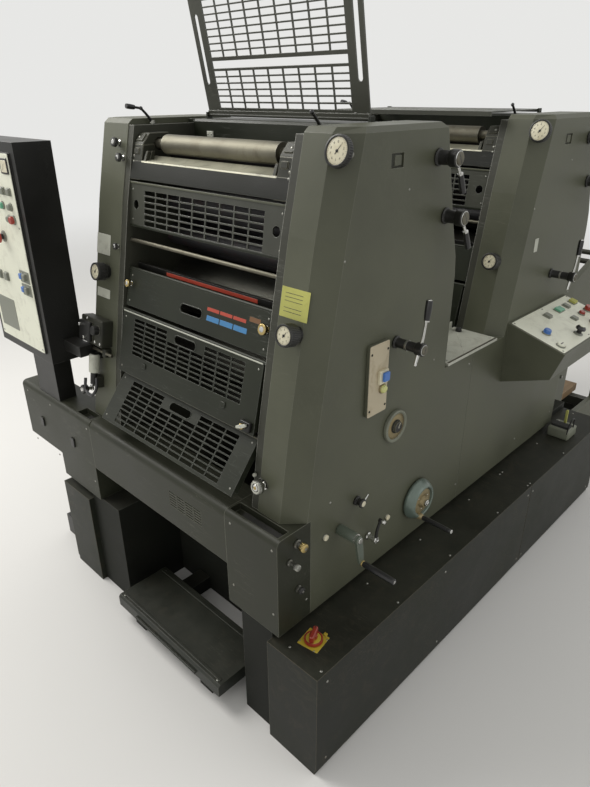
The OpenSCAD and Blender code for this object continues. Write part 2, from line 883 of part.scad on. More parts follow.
module feed_table() {
    t = 16;
    w = bay_w - 60;
    x0 = machine_end - 8;
    x1 = feeder_x + 270;
    color("silver") {
        side_slab([[x0, 470], [x1, 560], [x1, 560 - t], [x0, 470 - t]], -w / 2, w / 2);
        translate([x1 - 60, -feeder_y, base_z + 560 - t - 40]) cube([30, 2 * feeder_y, 34]);
        translate([x0 - 10, -half_bay, base_z + 440]) cube([26, bay_w, 16]);
    }
}

module suction_head() {
    x0 = feeder_x + 300;
    color("dimgray") {
        for (x = [x0 + 10, x0 + 200])
            translate([x, feeder_y, feeder_h + 20]) rotate([90, 0, 0]) cylinder(r = 12, h = 2 * feeder_y);
        translate([x0, -90, feeder_h - 20]) cube([230, 180, 130]);
        for (s = [-1, 1])
            translate([x0 + 30, s * 60 - 10, feeder_h - 80]) cube([20, 20, 60]);
    }
}

module place() {
    translate([-origin_x, 0, 0]) children();
}

place() foot_plinth_operator();
place() foot_plinth_drive();
place() machine_bed();
place() delivery_well_rails();
place() delivery_board();
place() side_frame_operator();
place() side_frame_drive();
place() operator_housing_2();
place() operator_housing_1();
place() drive_housing_2();
place() drive_housing_1();
place() delivery_box_operator();
place() delivery_box_drive();
place() delivery_cross_cover();
place() saddle_tray();
place() unit_top_covers();
place() unit_back_covers();
place() ink_grilles();
place() ink_ducts();
place() fountain_roller_2();
place() fountain_roller_1();
place() ink_rollers();
place() press_cylinders();
place() plate_guard();
place() blanket_guard();
place() delivery_guard();
place() unit_1_guards();
place() ink_guard_open();
place() ink_guard_closed();
place() upper_lever_2();
place() lower_lever_2();
place() impression_lever_2();
place() upper_lever_1();
place() lower_lever_1();
place() impression_lever_1();
place() hand_wheel();
place() crank();
place() short_crank();
place() main_switch();
place() scale_dials();
place() side_controls();
place() console();
place() control_cabinet();
place() cabinet_carrier();
place() foot_pedal();
place() drive_motor();
place() feeder_side_operator();
place() feeder_side_drive();
place() feeder_ties();
place() feed_table();
place() feed_pile_board();
place() suction_head();
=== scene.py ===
"""Offset printing press: pieces, finishes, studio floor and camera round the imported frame."""

import math

import bmesh
import bpy
import numpy as np
from mathutils import Matrix, Vector


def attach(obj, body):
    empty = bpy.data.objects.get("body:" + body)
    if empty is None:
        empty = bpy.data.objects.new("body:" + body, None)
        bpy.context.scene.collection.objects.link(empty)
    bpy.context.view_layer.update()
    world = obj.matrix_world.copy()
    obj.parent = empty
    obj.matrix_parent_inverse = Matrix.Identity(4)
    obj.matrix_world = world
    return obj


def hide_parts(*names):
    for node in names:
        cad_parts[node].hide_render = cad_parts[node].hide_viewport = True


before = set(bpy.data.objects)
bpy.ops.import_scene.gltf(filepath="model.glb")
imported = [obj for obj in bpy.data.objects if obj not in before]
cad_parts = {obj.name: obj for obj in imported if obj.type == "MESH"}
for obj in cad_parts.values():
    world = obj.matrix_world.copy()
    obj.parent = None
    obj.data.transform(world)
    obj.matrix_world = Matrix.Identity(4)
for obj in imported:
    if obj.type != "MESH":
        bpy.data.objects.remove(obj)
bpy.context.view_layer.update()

bl_info = {
    "name": "Offset Printing Press",
    "version": (1, 0, 0),
    "blender": (4, 5, 0),
    "location": "View3D > Sidebar > Press",
    "description": "Levers, dials, controls and finishes of a two colour offset press",
    "category": "Object",
}

BODY = "press"

# Every place is in the machine's own millimetres: x along the machine from the delivery end,
# y across it from its middle line, positive to the drive side, h over the housings' lower edge.
FRONT_END = 1000.0
LOWER_EDGE = 402.0
UNIT_PITCH = 934.0

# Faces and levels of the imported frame.
SIDE_Y = -476.0
DRIVE_Y = 525.0
PLINTH_Y = -625.0
FEEDER_Y = 390.0
BAY = 320.0
DELIVERY_X = 13.0
BOX_TOP = 290.0
CROSS_COVER_TOP = 134.0
BOARD_X = -50.0
BOARD_TOP = -302.0
PLINTH_TOP = -28.0

# A housing's leaning front line, and top and bottom line of each guard and grille, as (x, h).
FRONT_H = np.array([312.0, 540.0, 741.0, 1005.0, 1232.0])
FRONT_X = np.array([72.0, 106.0, 144.0, 196.0, 250.0])
PLATE_LINE = ((183, 820), (152, 712))
BLANKET_LINE = ((143, 700), (97, 512))
DELIVERY_LINE = ((118, 497), (14, 369))
GRILLE_LINE = ((222, 1068), (204, 942))
GUARD_SCREWS = (-298, 298)

# Axis of a fountain roller, radius of its bearing, and the duct's fittings across the machine.
JOURNAL = np.array([298.0, 1166.0])
BEARING = 17.0
CLAMP_Y = 297.0
WEDGE_Y = 262.0
WEDGE_LEVER_Y = 332.5

# Levers, cranks and controls on the operator's side, as (x, h).
UPPER_LEVER = (584.0, 1154.0)
LOWER_LEVER = (640.0, 1008.0)
IMPRESSION_LEVER = (456.0, 711.0)
HAND_WHEEL = (622.0, 138.0)
WHEEL_HANDLE = (-14.0, -49.0)
CRANK = (248.0, 225.0)
SHORT_CRANK = (379.0, 128.0)
SWITCH_PLATE = (335.0, 534.0)
RING_DIAL = (475.0, 456.0)
RIBBED_KNOB = (320.0, 282.0)
PLUGS = ((191.0, 229.0), (473.0, 142.0))
DELIVERY_KNOBS = ((83.0, 272.0), (55.0, 229.0), (86.0, 123.0))
WINDOW = (392.0, 1142.0)
SIDE_LABEL = (296.0, 836.0)
CONSOLE = (1111.0, 595.0)

# Fittings on the leaning fronts, as (y, h).
TOP_DIAL = (-463.0, 1185.0)
FRONT_DIALS = ((-410.0, 796.0), (410.0, 796.0))
NOTE = (-391.0, 861.0)
UPPER_LABEL = (439.0, 875.0)
LOWER_LABEL = (429.0, 727.0)
CLAMP_KNOB = (-360.0, 395.0)
DRIVE_FITTINGS = (438.0, 610.0)
DRIVE_KNOB = (496.0, 392.0)

# Plinth, saddle, cabinet and feeder.
MAIN_SWITCH = (90.0, -530.0)
PEDAL = (1600.0, -585.0)
SADDLE = (742.0, 560.0)
CABINET = (-15.0, 745.0, 488.0)
FEED_LINE = ((1668.0, 470.0), (2170.0, 560.0))
SUCTION_HEAD = 2200.0
SUCTION_CUPS = 478.0
SUCTION_TOP = 668.0

# Faces that meet at more degrees than this are shaded apart.
SPLIT_ANGLE = 35.0
DUST = (0.20, 0.18, 0.14)

# The photograph's camera: metres, degrees, and millimetres of lens.
CAMERA_PLACE = (-1.816, -1.348, 1.700)
CAMERA_PITCH = 25.80
CAMERA_YAW = 45.77
CAMERA_ROLL = -0.33
CAMERA_LENS = 28.53

# Studio, in metres: half the floor's width, where it starts to fade and where it is gone.
FLOOR_HALF = 40.0
FADE = (3.0, 9.0)
WORLD_LIGHT = (0.99, 0.98, 0.95)
WORLD_STRENGTH = 0.68

# Lamps: the property that gives the power and the share of it, size, place, target and tint.
LAMPS = {
    "key_lamp": ("key_power", 1.0, 2.6, (-1.6, 2.6, 3.6), (0.0, 0.0, 1.0), (1.0, 0.98, 0.94)),
    "fill_lamp": ("fill_power", 1.0, 3.0, (1.2, -4.2, 2.6), (0.2, -0.4, 0.8), (0.96, 0.98, 1.0)),
    "front_lamp": ("fill_power", 0.6, 2.4, (-4.4, -0.8, 2.2), (-0.8, 0.0, 0.8), (1.0, 0.97, 0.92)),
}


# ---------------------------------------------------------------- places

def spot(x, y, h):
    """Point in metres from the machine's own millimetres."""
    return np.array([x - FRONT_END, y, h + LOWER_EDGE]) / 1000.0


class Seat:
    """A local frame: an origin in metres and three unit axes, of which the third points away from
    the surface."""

    def __init__(self, origin, u, v):
        self.o = np.asarray(origin, float)
        self.u = np.asarray(u, float) / np.linalg.norm(u)
        self.w = np.cross(self.u, v)
        self.w /= np.linalg.norm(self.w)
        self.v = np.cross(self.w, self.u)

    def put(self, shape):
        """Carries a shape drawn in millimetres into the frame: origin + x u + y v + z w."""
        points, faces = shape
        p = points / 1000.0
        return self.o + p[:, :1] * self.u + p[:, 1:2] * self.v + p[:, 2:3] * self.w, faces


def on_side(x, h, unit=0):
    """Seat on the operator's side face, X along the machine and Y up."""
    return upright(x + unit * UNIT_PITCH, SIDE_Y, h)


def front_at(h):
    """Distance along the machine of a unit's front line at height h."""
    return float(np.interp(h, FRONT_H, FRONT_X))


def on_front(y, h, unit=0):
    """Seat on a unit's leaning front face, X towards the operator and Y up the slope."""
    lean = (front_at(h + 4) - front_at(h - 4)) / 8.0
    return Seat(spot(front_at(h) + unit * UNIT_PITCH, y, h), (0, -1, 0), (lean, 0, 1))


def on_top(x, y, h):
    """Seat on a level surface, X along the machine and Y across it."""
    return Seat(spot(x, y, h), (1, 0, 0), (0, 1, 0))


def facing_delivery(x, y, h):
    """Seat on an upright face that looks towards the delivery end."""
    return Seat(spot(x, y, h), (0, -1, 0), (0, 0, 1))


def upright(x, y, h, way=1):
    """Seat on an upright face along the machine; it looks to the operator, or away with way -1."""
    return Seat(spot(x, y, h), (way, 0, 0), (0, 0, 1))


def across(unit=0):
    """Seat for profiles drawn along the machine and up, and carried across it."""
    return upright(unit * UNIT_PITCH, 0, 0)


def slope(a, b, unit=0):
    """Seat on a sheet from its top line a to its bottom line b, each as (distance, height)."""
    way = (a[0] - b[0], 0, a[1] - b[1])
    return Seat(spot(a[0] + unit * UNIT_PITCH, 0, a[1]), (0, -1, 0), way)


def seated(seat, parts):
    """Places each shape of a list in a seat."""
    return [(finish, seat.put(shape)) for finish, shape in parts]


def shifted(parts, x, y, z=0.0):
    """Moves each shape of a list by x, y, z."""
    return [(finish, move(shape, x, y, z)) for finish, shape in parts]


def ray(angle, length=1.0):
    """Point at a distance from the axis, in the direction of an angle in degrees."""
    a = math.radians(angle)
    return np.array([length * math.cos(a), length * math.sin(a), 0.0])


# ---------------------------------------------------------------- shapes, all in millimetres

def skin(points, close=True):
    """Faces over an m by n grid of points; the grid closes in its second direction, and points that
    fall together are welded, so that a ring of no radius becomes a closed pole."""
    m, n = points.shape[:2]
    i, j = np.meshgrid(np.arange(m - 1), np.arange(n if close else n - 1), indexing="ij")
    k = (j + 1) % n
    quads = np.stack([i * n + j, i * n + k, (i + 1) * n + k, (i + 1) * n + j], -1).reshape(-1, 4)
    flat = points.reshape(-1, 3)
    _, first, back = np.unique(
        np.round(flat * 1e4).astype(np.int64), axis=0, return_index=True, return_inverse=True
    )
    quads = back.reshape(-1)[quads]
    same = quads == np.roll(quads, -1, axis=1)
    full = quads[~same.any(1)]
    one = same.sum(1) == 1
    left = quads[one]
    at = same[one].argmax(1)
    thirds = left[np.arange(len(left))[:, None], (at[:, None] + np.array([1, 2, 3])) % 4]
    return flat[first], full.tolist() + thirds.tolist()


def lathe(profile, n=40, lobes=0, depth=0.0):
    """Profile of (height, radius) pairs turned about Z: x = r cos a, y = r sin a, where r is drawn
    in by depth (1 - cos(lobes a)) / 2 to make grip ribs."""
    p = np.asarray(profile, float)
    a = np.linspace(0, 2 * np.pi, n, endpoint=False)
    r = p[:, 1:2] - np.where(p[:, 1:2] > depth, depth * (1 - np.cos(lobes * a)) / 2, 0.0)
    return skin(np.stack([r * np.cos(a), r * np.sin(a), np.broadcast_to(p[:, :1], r.shape)], -1))


def turned(profile, n=40, lobes=0, depth=0.0):
    """The same, with flat ends that reach in to the axis."""
    first, last = profile[0][0], profile[-1][0]
    return lathe([[first, 0], *profile, [last, 0]], n, lobes, depth)


def drum(r, z0, z1, edge=1.5, n=40, lobes=0, depth=0.0):
    """Closed round body with quarter circle edges."""
    q = np.linspace(0, np.pi / 2, 4)
    low = np.stack([z0 + edge * (1 - np.sin(q)), r - edge * (1 - np.cos(q))], -1)[::-1]
    high = np.stack([z1 - edge * (1 - np.sin(q)), r - edge * (1 - np.cos(q))], -1)
    return lathe(np.concatenate([[[z0, 0]], low, high, [[z1, 0]]]), n, lobes, depth)


def ball(r, n=24):
    """Sphere about the seat's origin."""
    t = np.linspace(-np.pi / 2, np.pi / 2, n // 2 + 1)
    return lathe(np.stack([r * np.sin(t), np.maximum(r * np.cos(t), 0)], -1), n)


def ring(r, t, z, n=64, m=14):
    """Torus of radius r and section radius t."""
    a = np.linspace(0, 2 * np.pi, n, endpoint=False)[:, None]
    b = np.linspace(0, 2 * np.pi, m + 1)[None, :]
    rr = r + t * np.cos(b)
    grid = np.stack([rr * np.cos(a), rr * np.sin(a), z + t * np.sin(b) + 0 * a], -1)
    return skin(np.transpose(grid, (1, 0, 2)))


def block(x0, y0, z0, x1, y1, z1, edge=1.5, k=3):
    """Box with rounded edges: each point of a ball of radius edge is pushed out to its corner."""
    half = np.array([x1 - x0, y1 - y0, z1 - z0]) / 2.0
    mid = np.array([x1 + x0, y1 + y0, z1 + z0]) / 2.0
    edge = min(edge, half.min() * 0.98)
    step = np.linspace(0, np.pi / 2, k + 1)
    a = np.concatenate([step + q * np.pi / 2 for q in range(4)])
    sx = np.repeat([1, -1, -1, 1], k + 1)
    sy = np.repeat([1, 1, -1, -1], k + 1)
    t = np.concatenate([step - np.pi / 2, step])
    sz = np.repeat([-1, 1], k + 1)
    core = half - edge
    g = np.stack([
        sx * core[0] + edge * np.cos(t)[:, None] * np.cos(a),
        sy * core[1] + edge * np.cos(t)[:, None] * np.sin(a),
        np.broadcast_to((sz * core[2] + edge * np.sin(t))[:, None], (len(t), len(a))),
    ], -1)
    g = np.concatenate([g[:1] * [0, 0, 1], g, g[-1:] * [0, 0, 1]])
    return skin(g + mid)


def inset(outline, d):
    """Outline drawn in by d along its mitred corner normals; the outline runs anticlockwise."""
    p = np.asarray(outline, float)
    e = np.roll(p, -1, 0) - p
    e /= np.linalg.norm(e, axis=1)[:, None]
    nrm = np.stack([-e[:, 1], e[:, 0]], -1)
    before = np.roll(nrm, 1, 0)
    return p + d * (nrm + before) / (1 + (nrm * before).sum(1))[:, None]


def prism(outline, z0, z1, edge=0.8):
    """Flat body between z0 and z1 over an outline, with chamfered rims."""
    p = np.asarray(outline, float)
    x, y = p[:, 0], p[:, 1]
    if (x * np.roll(y, -1) - y * np.roll(x, -1)).sum() < 0:
        p = p[::-1]
    q = inset(p, edge)
    n = len(p)
    rings = [(q, z0), (p, z0 + edge), (p, z1 - edge), (q, z1)]
    pts = np.concatenate([np.column_stack([o, np.full(n, z)]) for o, z in rings])
    i, j = np.meshgrid(np.arange(3), np.arange(n), indexing="ij")
    k = (j + 1) % n
    quads = np.stack([i * n + j, i * n + k, (i + 1) * n + k, (i + 1) * n + j], -1).reshape(-1, 4)
    return pts, quads.tolist() + [list(range(n))[::-1], list(range(3 * n, 4 * n))]


def rounded(x0, y0, x1, y1, r, k=5):
    """Rectangle outline with round corners, anticlockwise."""
    a = np.linspace(0, np.pi / 2, k + 1)
    c = [(x1 - r, y1 - r, 0), (x0 + r, y1 - r, 1), (x0 + r, y0 + r, 2), (x1 - r, y0 + r, 3)]
    corners = []
    for cx, cy, q in c:
        b = a + q * np.pi / 2
        corners.append(np.stack([cx + r * np.cos(b), cy + r * np.sin(b)], -1))
    return np.concatenate(corners)


def box(x0, y0, x1, y1):
    """Rectangle outline, anticlockwise."""
    return [[x0, y0], [x1, y0], [x1, y1], [x0, y1]]


def tube(path, radii, n=14, side=(0, 0, 1)):
    """Round bar along a path: each ring stands square on the path, and the ends are closed."""
    p = np.asarray(path, float)
    t = np.gradient(p, axis=0)
    t /= np.linalg.norm(t, axis=1)[:, None]
    a1 = np.cross(np.broadcast_to(np.asarray(side, float), t.shape), t)
    a1 /= np.linalg.norm(a1, axis=1)[:, None]
    a2 = np.cross(t, a1)
    r = np.broadcast_to(np.asarray(radii, float), (len(p),))
    p = np.concatenate([p[:1], p, p[-1:]])
    a1 = np.concatenate([a1[:1], a1, a1[-1:]])
    a2 = np.concatenate([a2[:1], a2, a2[-1:]])
    r = np.concatenate([[0], r, [0]])
    b = np.linspace(0, 2 * np.pi, n, endpoint=False)
    g = p[:, None] + r[:, None, None] * (
        np.cos(b)[None, :, None] * a1[:, None] + np.sin(b)[None, :, None] * a2[:, None]
    )
    return skin(g)


def bend(points, n=24):
    """Smooth path through a few points: each coordinate follows a cubic spline."""
    p = np.asarray(points, float)
    p = np.concatenate([[2 * p[0] - p[1]], p, [2 * p[-1] - p[-2]]])
    u = np.linspace(0, len(p) - 3 - 1e-9, n)
    i = u.astype(int)
    f = (u - i)[:, None]
    a, b, c, d = p[i], p[i + 1], p[i + 2], p[i + 3]
    square = (2 * a - 5 * b + 4 * c - d) * f ** 2
    cube = (3 * b - a - 3 * c + d) * f ** 3
    return 0.5 * (2 * b + (c - a) * f + square + cube)


def turn(shape, degrees, axis=2):
    """Shape turned about one of its own axes."""
    a = math.radians(degrees)
    c, s = math.cos(a), math.sin(a)
    m = np.eye(3)
    i, j = [(1, 2), (2, 0), (0, 1)][axis]
    m[i, i] = m[j, j] = c
    m[i, j] = -s
    m[j, i] = s
    return shape[0] @ m.T, shape[1]


def lying(shape, axis, x, y, z):
    """Shape laid over by a right angle about one axis, and moved."""
    return move(turn(shape, 90, axis), x, y, z)


def move(shape, x=0.0, y=0.0, z=0.0):
    """Shape moved by x, y, z."""
    return shape[0] + np.array([x, y, z]), shape[1]


def scatter(shape, places):
    """The same shape at every (x, y) place, as one shape."""
    places = np.pad(np.asarray(places, float), ((0, 0), (0, 1)))
    pts = (shape[0][None] + places[:, None]).reshape(-1, 3)
    n = len(shape[0])
    return pts, [[v + k * n for v in f] for k in range(len(places)) for f in shape[1]]


def grid(xs, ys):
    """Places (x, y) for every x and every y."""
    return [(x, y) for x in xs for y in ys]


def screw_head(r=4.0, z=0.0):
    """Domed screw head."""
    h = r * 0.5
    q = np.linspace(0, np.pi / 2, 5)
    dome = np.stack([z + h * np.sin(q), r * np.cos(q)], -1)
    return lathe(np.concatenate([[[z - 1, 0], [z - 1, r]], dome]), 16)


def screws(places, r=4.0, z=0.0, finish="fastener steel"):
    """Screw heads of one size at every place."""
    return finish, scatter(screw_head(r, z), places)


def hex_nut(r, z0, z1):
    """Six sided nut with chamfered ends."""
    a = np.arange(6) * np.pi / 3
    return prism(np.stack([r * np.cos(a), r * np.sin(a)], -1), z0, z1, r * 0.08)


def digits(text, size, x, y, z):
    """Flat figures as a mesh, centred on x, y and turned with the shape they stand on."""
    curve = bpy.data.curves.new("figures", "FONT")
    curve.body = text
    curve.size = size
    curve.extrude = 0.12
    curve.align_x = "CENTER"
    curve.align_y = "CENTER"
    obj = bpy.data.objects.new("figures", curve)
    mesh = bpy.data.meshes.new_from_object(obj)
    co = np.zeros(len(mesh.vertices) * 3, np.float32)
    mesh.vertices.foreach_get("co", co)
    faces = [list(p.vertices) for p in mesh.polygons]
    bpy.data.objects.remove(obj)
    bpy.data.curves.remove(curve)
    bpy.data.meshes.remove(mesh)
    return co.reshape(-1, 3).astype(float) + np.array([x, y, z]), faces


def piece(name, parts, body=BODY, replaces=()):
    """Joins placed shapes, each given as (finish, shape), into one mesh object that rides on a
    body. Faces are turned outwards, shaded smooth, and split where they meet at more than
    SPLIT_ANGLE."""
    finishes = list(dict.fromkeys(f for f, _ in parts))
    pts, faces, which = [], [], []
    base = 0
    for finish, (p, f) in parts:
        pts.append(p)
        faces += [[v + base for v in face] for face in f]
        which += [finishes.index(finish)] * len(f)
        base += len(p)
    mesh = bpy.data.meshes.new(name)
    mesh.from_pydata(np.concatenate(pts).tolist(), [], faces)
    for finish in finishes:
        mesh.materials.append(finish_of(finish))
    mesh.polygons.foreach_set("material_index", which)
    bm = bmesh.new()
    bm.from_mesh(mesh)
    bmesh.ops.recalc_face_normals(bm, faces=bm.faces)
    bm.to_mesh(mesh)
    bm.free()
    mesh.polygons.foreach_set("use_smooth", [True] * len(mesh.polygons))
    mesh.set_sharp_from_angle(angle=math.radians(SPLIT_ANGLE))
    mesh.update()
    obj = bpy.data.objects.new(name, mesh)
    bpy.context.scene.collection.objects.link(obj)
    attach(obj, body)
    if replaces:
        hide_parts(*replaces)
    return obj


def stand_in(node, parts, body=BODY):
    """A finer mesh in place of a node of the frame."""
    return piece(f"{node}_detail", parts, body, (node,))


# ---------------------------------------------------------------- shader groups

def wire(tree, kind, inputs=None, **attributes):
    """Adds a node, sets its attributes, and gives each input its value or links a socket to it."""
    node = tree.nodes.new(kind)
    for key, value in attributes.items():
        setattr(node, key, value)
    for key, value in (inputs or {}).items():
        if isinstance(value, bpy.types.NodeSocket):
            tree.links.new(value, node.inputs[key])
        else:
            node.inputs[key].default_value = value
    return node.outputs


def calc(tree, operation, a, b=None):
    """Result of an operation on one or two sockets or numbers."""
    inputs = {0: a} if b is None else {0: a, 1: b}
    return wire(tree, "ShaderNodeMath", inputs, operation=operation)[0]


def ramp(tree, value, low, high, start=0.0, end=1.0, **attributes):
    """Value carried from low and high to start and end, and held beyond them."""
    inputs = {"Value": value, 1: low, 2: high, 3: start, 4: end}
    return wire(tree, "ShaderNodeMapRange", inputs, **attributes)[0]


def noise(tree, vector, scale, detail, rough=0.5, twist=0.0):
    """Cloudy noise between 0 and 1."""
    inputs = {"Vector": vector, "Scale": scale, "Detail": detail}
    inputs.update({"Roughness": rough, "Distortion": twist})
    return wire(tree, "ShaderNodeTexNoise", inputs)[0]


def mixed(tree, factor, low, high):
    """Colour between low and high; each may be a colour or a socket."""
    low, high = [(*c, 1.0) if isinstance(c, tuple) else c for c in (low, high)]
    inputs = {0: factor, 6: low, 7: high}
    return wire(tree, "ShaderNodeMix", inputs, data_type="RGBA")[2]


def group(name, settings):
    """New shader node group with a vector input and one input for each setting."""
    g = bpy.data.node_groups.new(name, "ShaderNodeTree")
    g.interface.new_socket(name="Vector", in_out="INPUT", socket_type="NodeSocketVector")
    for label, value in settings.items():
        kind = "NodeSocketVector" if isinstance(value, tuple) else "NodeSocketFloat"
        s = g.interface.new_socket(name=label, in_out="INPUT", socket_type=kind)
        s.default_value = value
    return g, g.nodes.new("NodeGroupInput").outputs


def deliver(g, **results):
    """Gives a group one output for each result; a normal is a vector, the others are numbers."""
    for label in results:
        kind = "NodeSocketVector" if label == "Normal" else "NodeSocketFloat"
        g.interface.new_socket(name=label, in_out="OUTPUT", socket_type=kind)
    wire(g, "NodeGroupOutput", results)
    return g


def group_edge_wear():
    """Mask of pale rubbed edges, partly real wear and partly painted edge highlight: how far the
    normal averaged over a small radius leans from the face's own normal, broken up by noise; and
    that averaged normal, which rounds sharp edges."""
    g, i = group("Edge highlight and wear", {"Radius": 0.003, "Break up": 0.5, "Scale": 30.0})
    soft = wire(g, "ShaderNodeBevel", {"Radius": i["Radius"]}, samples=6)[0]
    flat = wire(g, "ShaderNodeNewGeometry")["Normal"]
    dot = wire(g, "ShaderNodeVectorMath", {0: soft, 1: flat}, operation="DOT_PRODUCT")["Value"]
    lean = calc(g, "SUBTRACT", 1.0, dot)
    part = ramp(g, noise(g, i["Vector"], i["Scale"], 6.0, 0.65), 0.32, 0.68, 1.0, 0.0)
    kept = calc(g, "SUBTRACT", 1.0, calc(g, "MULTIPLY", part, i["Break up"]))
    mask = ramp(g, calc(g, "MULTIPLY", lean, kept), 0.012, 0.075)
    return deliver(g, Mask=mask, Normal=soft)


def group_paint_grain():
    """Height of fine paint texture, a slow variation for colour and gloss, and smudges."""
    g, i = group("Paint grain", {"Scale": 900.0, "Patch scale": 3.0})
    fine = noise(g, i["Vector"], i["Scale"], 2.0)
    slow = noise(g, i["Vector"], i["Patch scale"], 5.0, 0.6)
    smudge_scale = calc(g, "MULTIPLY", i["Patch scale"], 7.0)
    mid = noise(g, i["Vector"], smudge_scale, 7.0, 0.7, 0.6)
    return deliver(
        g, Height=fine, Patches=ramp(g, slow, 0.3, 0.7), Smudges=ramp(g, mid, 0.52, 0.74)
    )


def group_settled_dust():
    """Mask of dust and paper lint on upward faces, thickest where the noise is high."""
    g, i = group("Settled dust", {"Amount": 0.4, "Scale": 12.0})
    normal = wire(g, "ShaderNodeNewGeometry")["Normal"]
    up = ramp(g, wire(g, "ShaderNodeSeparateXYZ", {0: normal})["Z"], 0.45, 0.95)
    lie = ramp(g, noise(g, i["Vector"], i["Scale"], 8.0, 0.7), 0.3, 0.75, 0.25, 1.0)
    return deliver(g, Mask=calc(g, "MULTIPLY", calc(g, "MULTIPLY", up, lie), i["Amount"]))


def group_scratches():
    """Mask of fine scratches: noise stretched along two directions, kept only near its middle
    value, and only in patches."""
    g, i = group("Scratches", {"Amount": 0.4, "Scale": 60.0})
    lines = []
    for angle in (0.5, -0.9):
        stretch = {"Rotation": (0.3, angle, angle * 0.7), "Scale": (1.0, 0.06, 0.7)}
        drawn = wire(g, "ShaderNodeMapping", {"Vector": i["Vector"], **stretch})[0]
        off = calc(g, "SUBTRACT", noise(g, drawn, i["Scale"], 3.0), 0.5)
        lines.append(ramp(g, calc(g, "ABSOLUTE", off), 0.0, 0.006, 1.0, 0.0))
    some = ramp(g, noise(g, i["Vector"], 5.0, 2.0), 0.5, 0.68)
    seen = calc(g, "MULTIPLY", calc(g, "MAXIMUM", *lines), some)
    return deliver(g, Mask=calc(g, "MULTIPLY", seen, i["Amount"]))


def group_grinding():
    """Height and tone of grinding or brushing marks: noise drawn out along one axis."""
    g, i = group("Grinding marks", {"Stretch": (1.0, 0.02, 1.0), "Scale": 700.0})
    both = {0: i["Vector"], 1: i["Stretch"]}
    drawn = wire(g, "ShaderNodeVectorMath", both, operation="MULTIPLY")[0]
    return deliver(g, Height=noise(g, drawn, i["Scale"], 3.0, 0.6), Tone=noise(g, drawn, 60.0, 4.0))


GROUPS = {}


def build_groups():
    """Makes each shared group once."""
    # edge mask: partly real wear, partly painted edge highlight
    GROUPS["wear_and_highlight"] = group_edge_wear()
    GROUPS["grain"] = group_paint_grain()
    GROUPS["dust"] = group_settled_dust()
    GROUPS["scratch"] = group_scratches()
    GROUPS["grind"] = group_grinding()
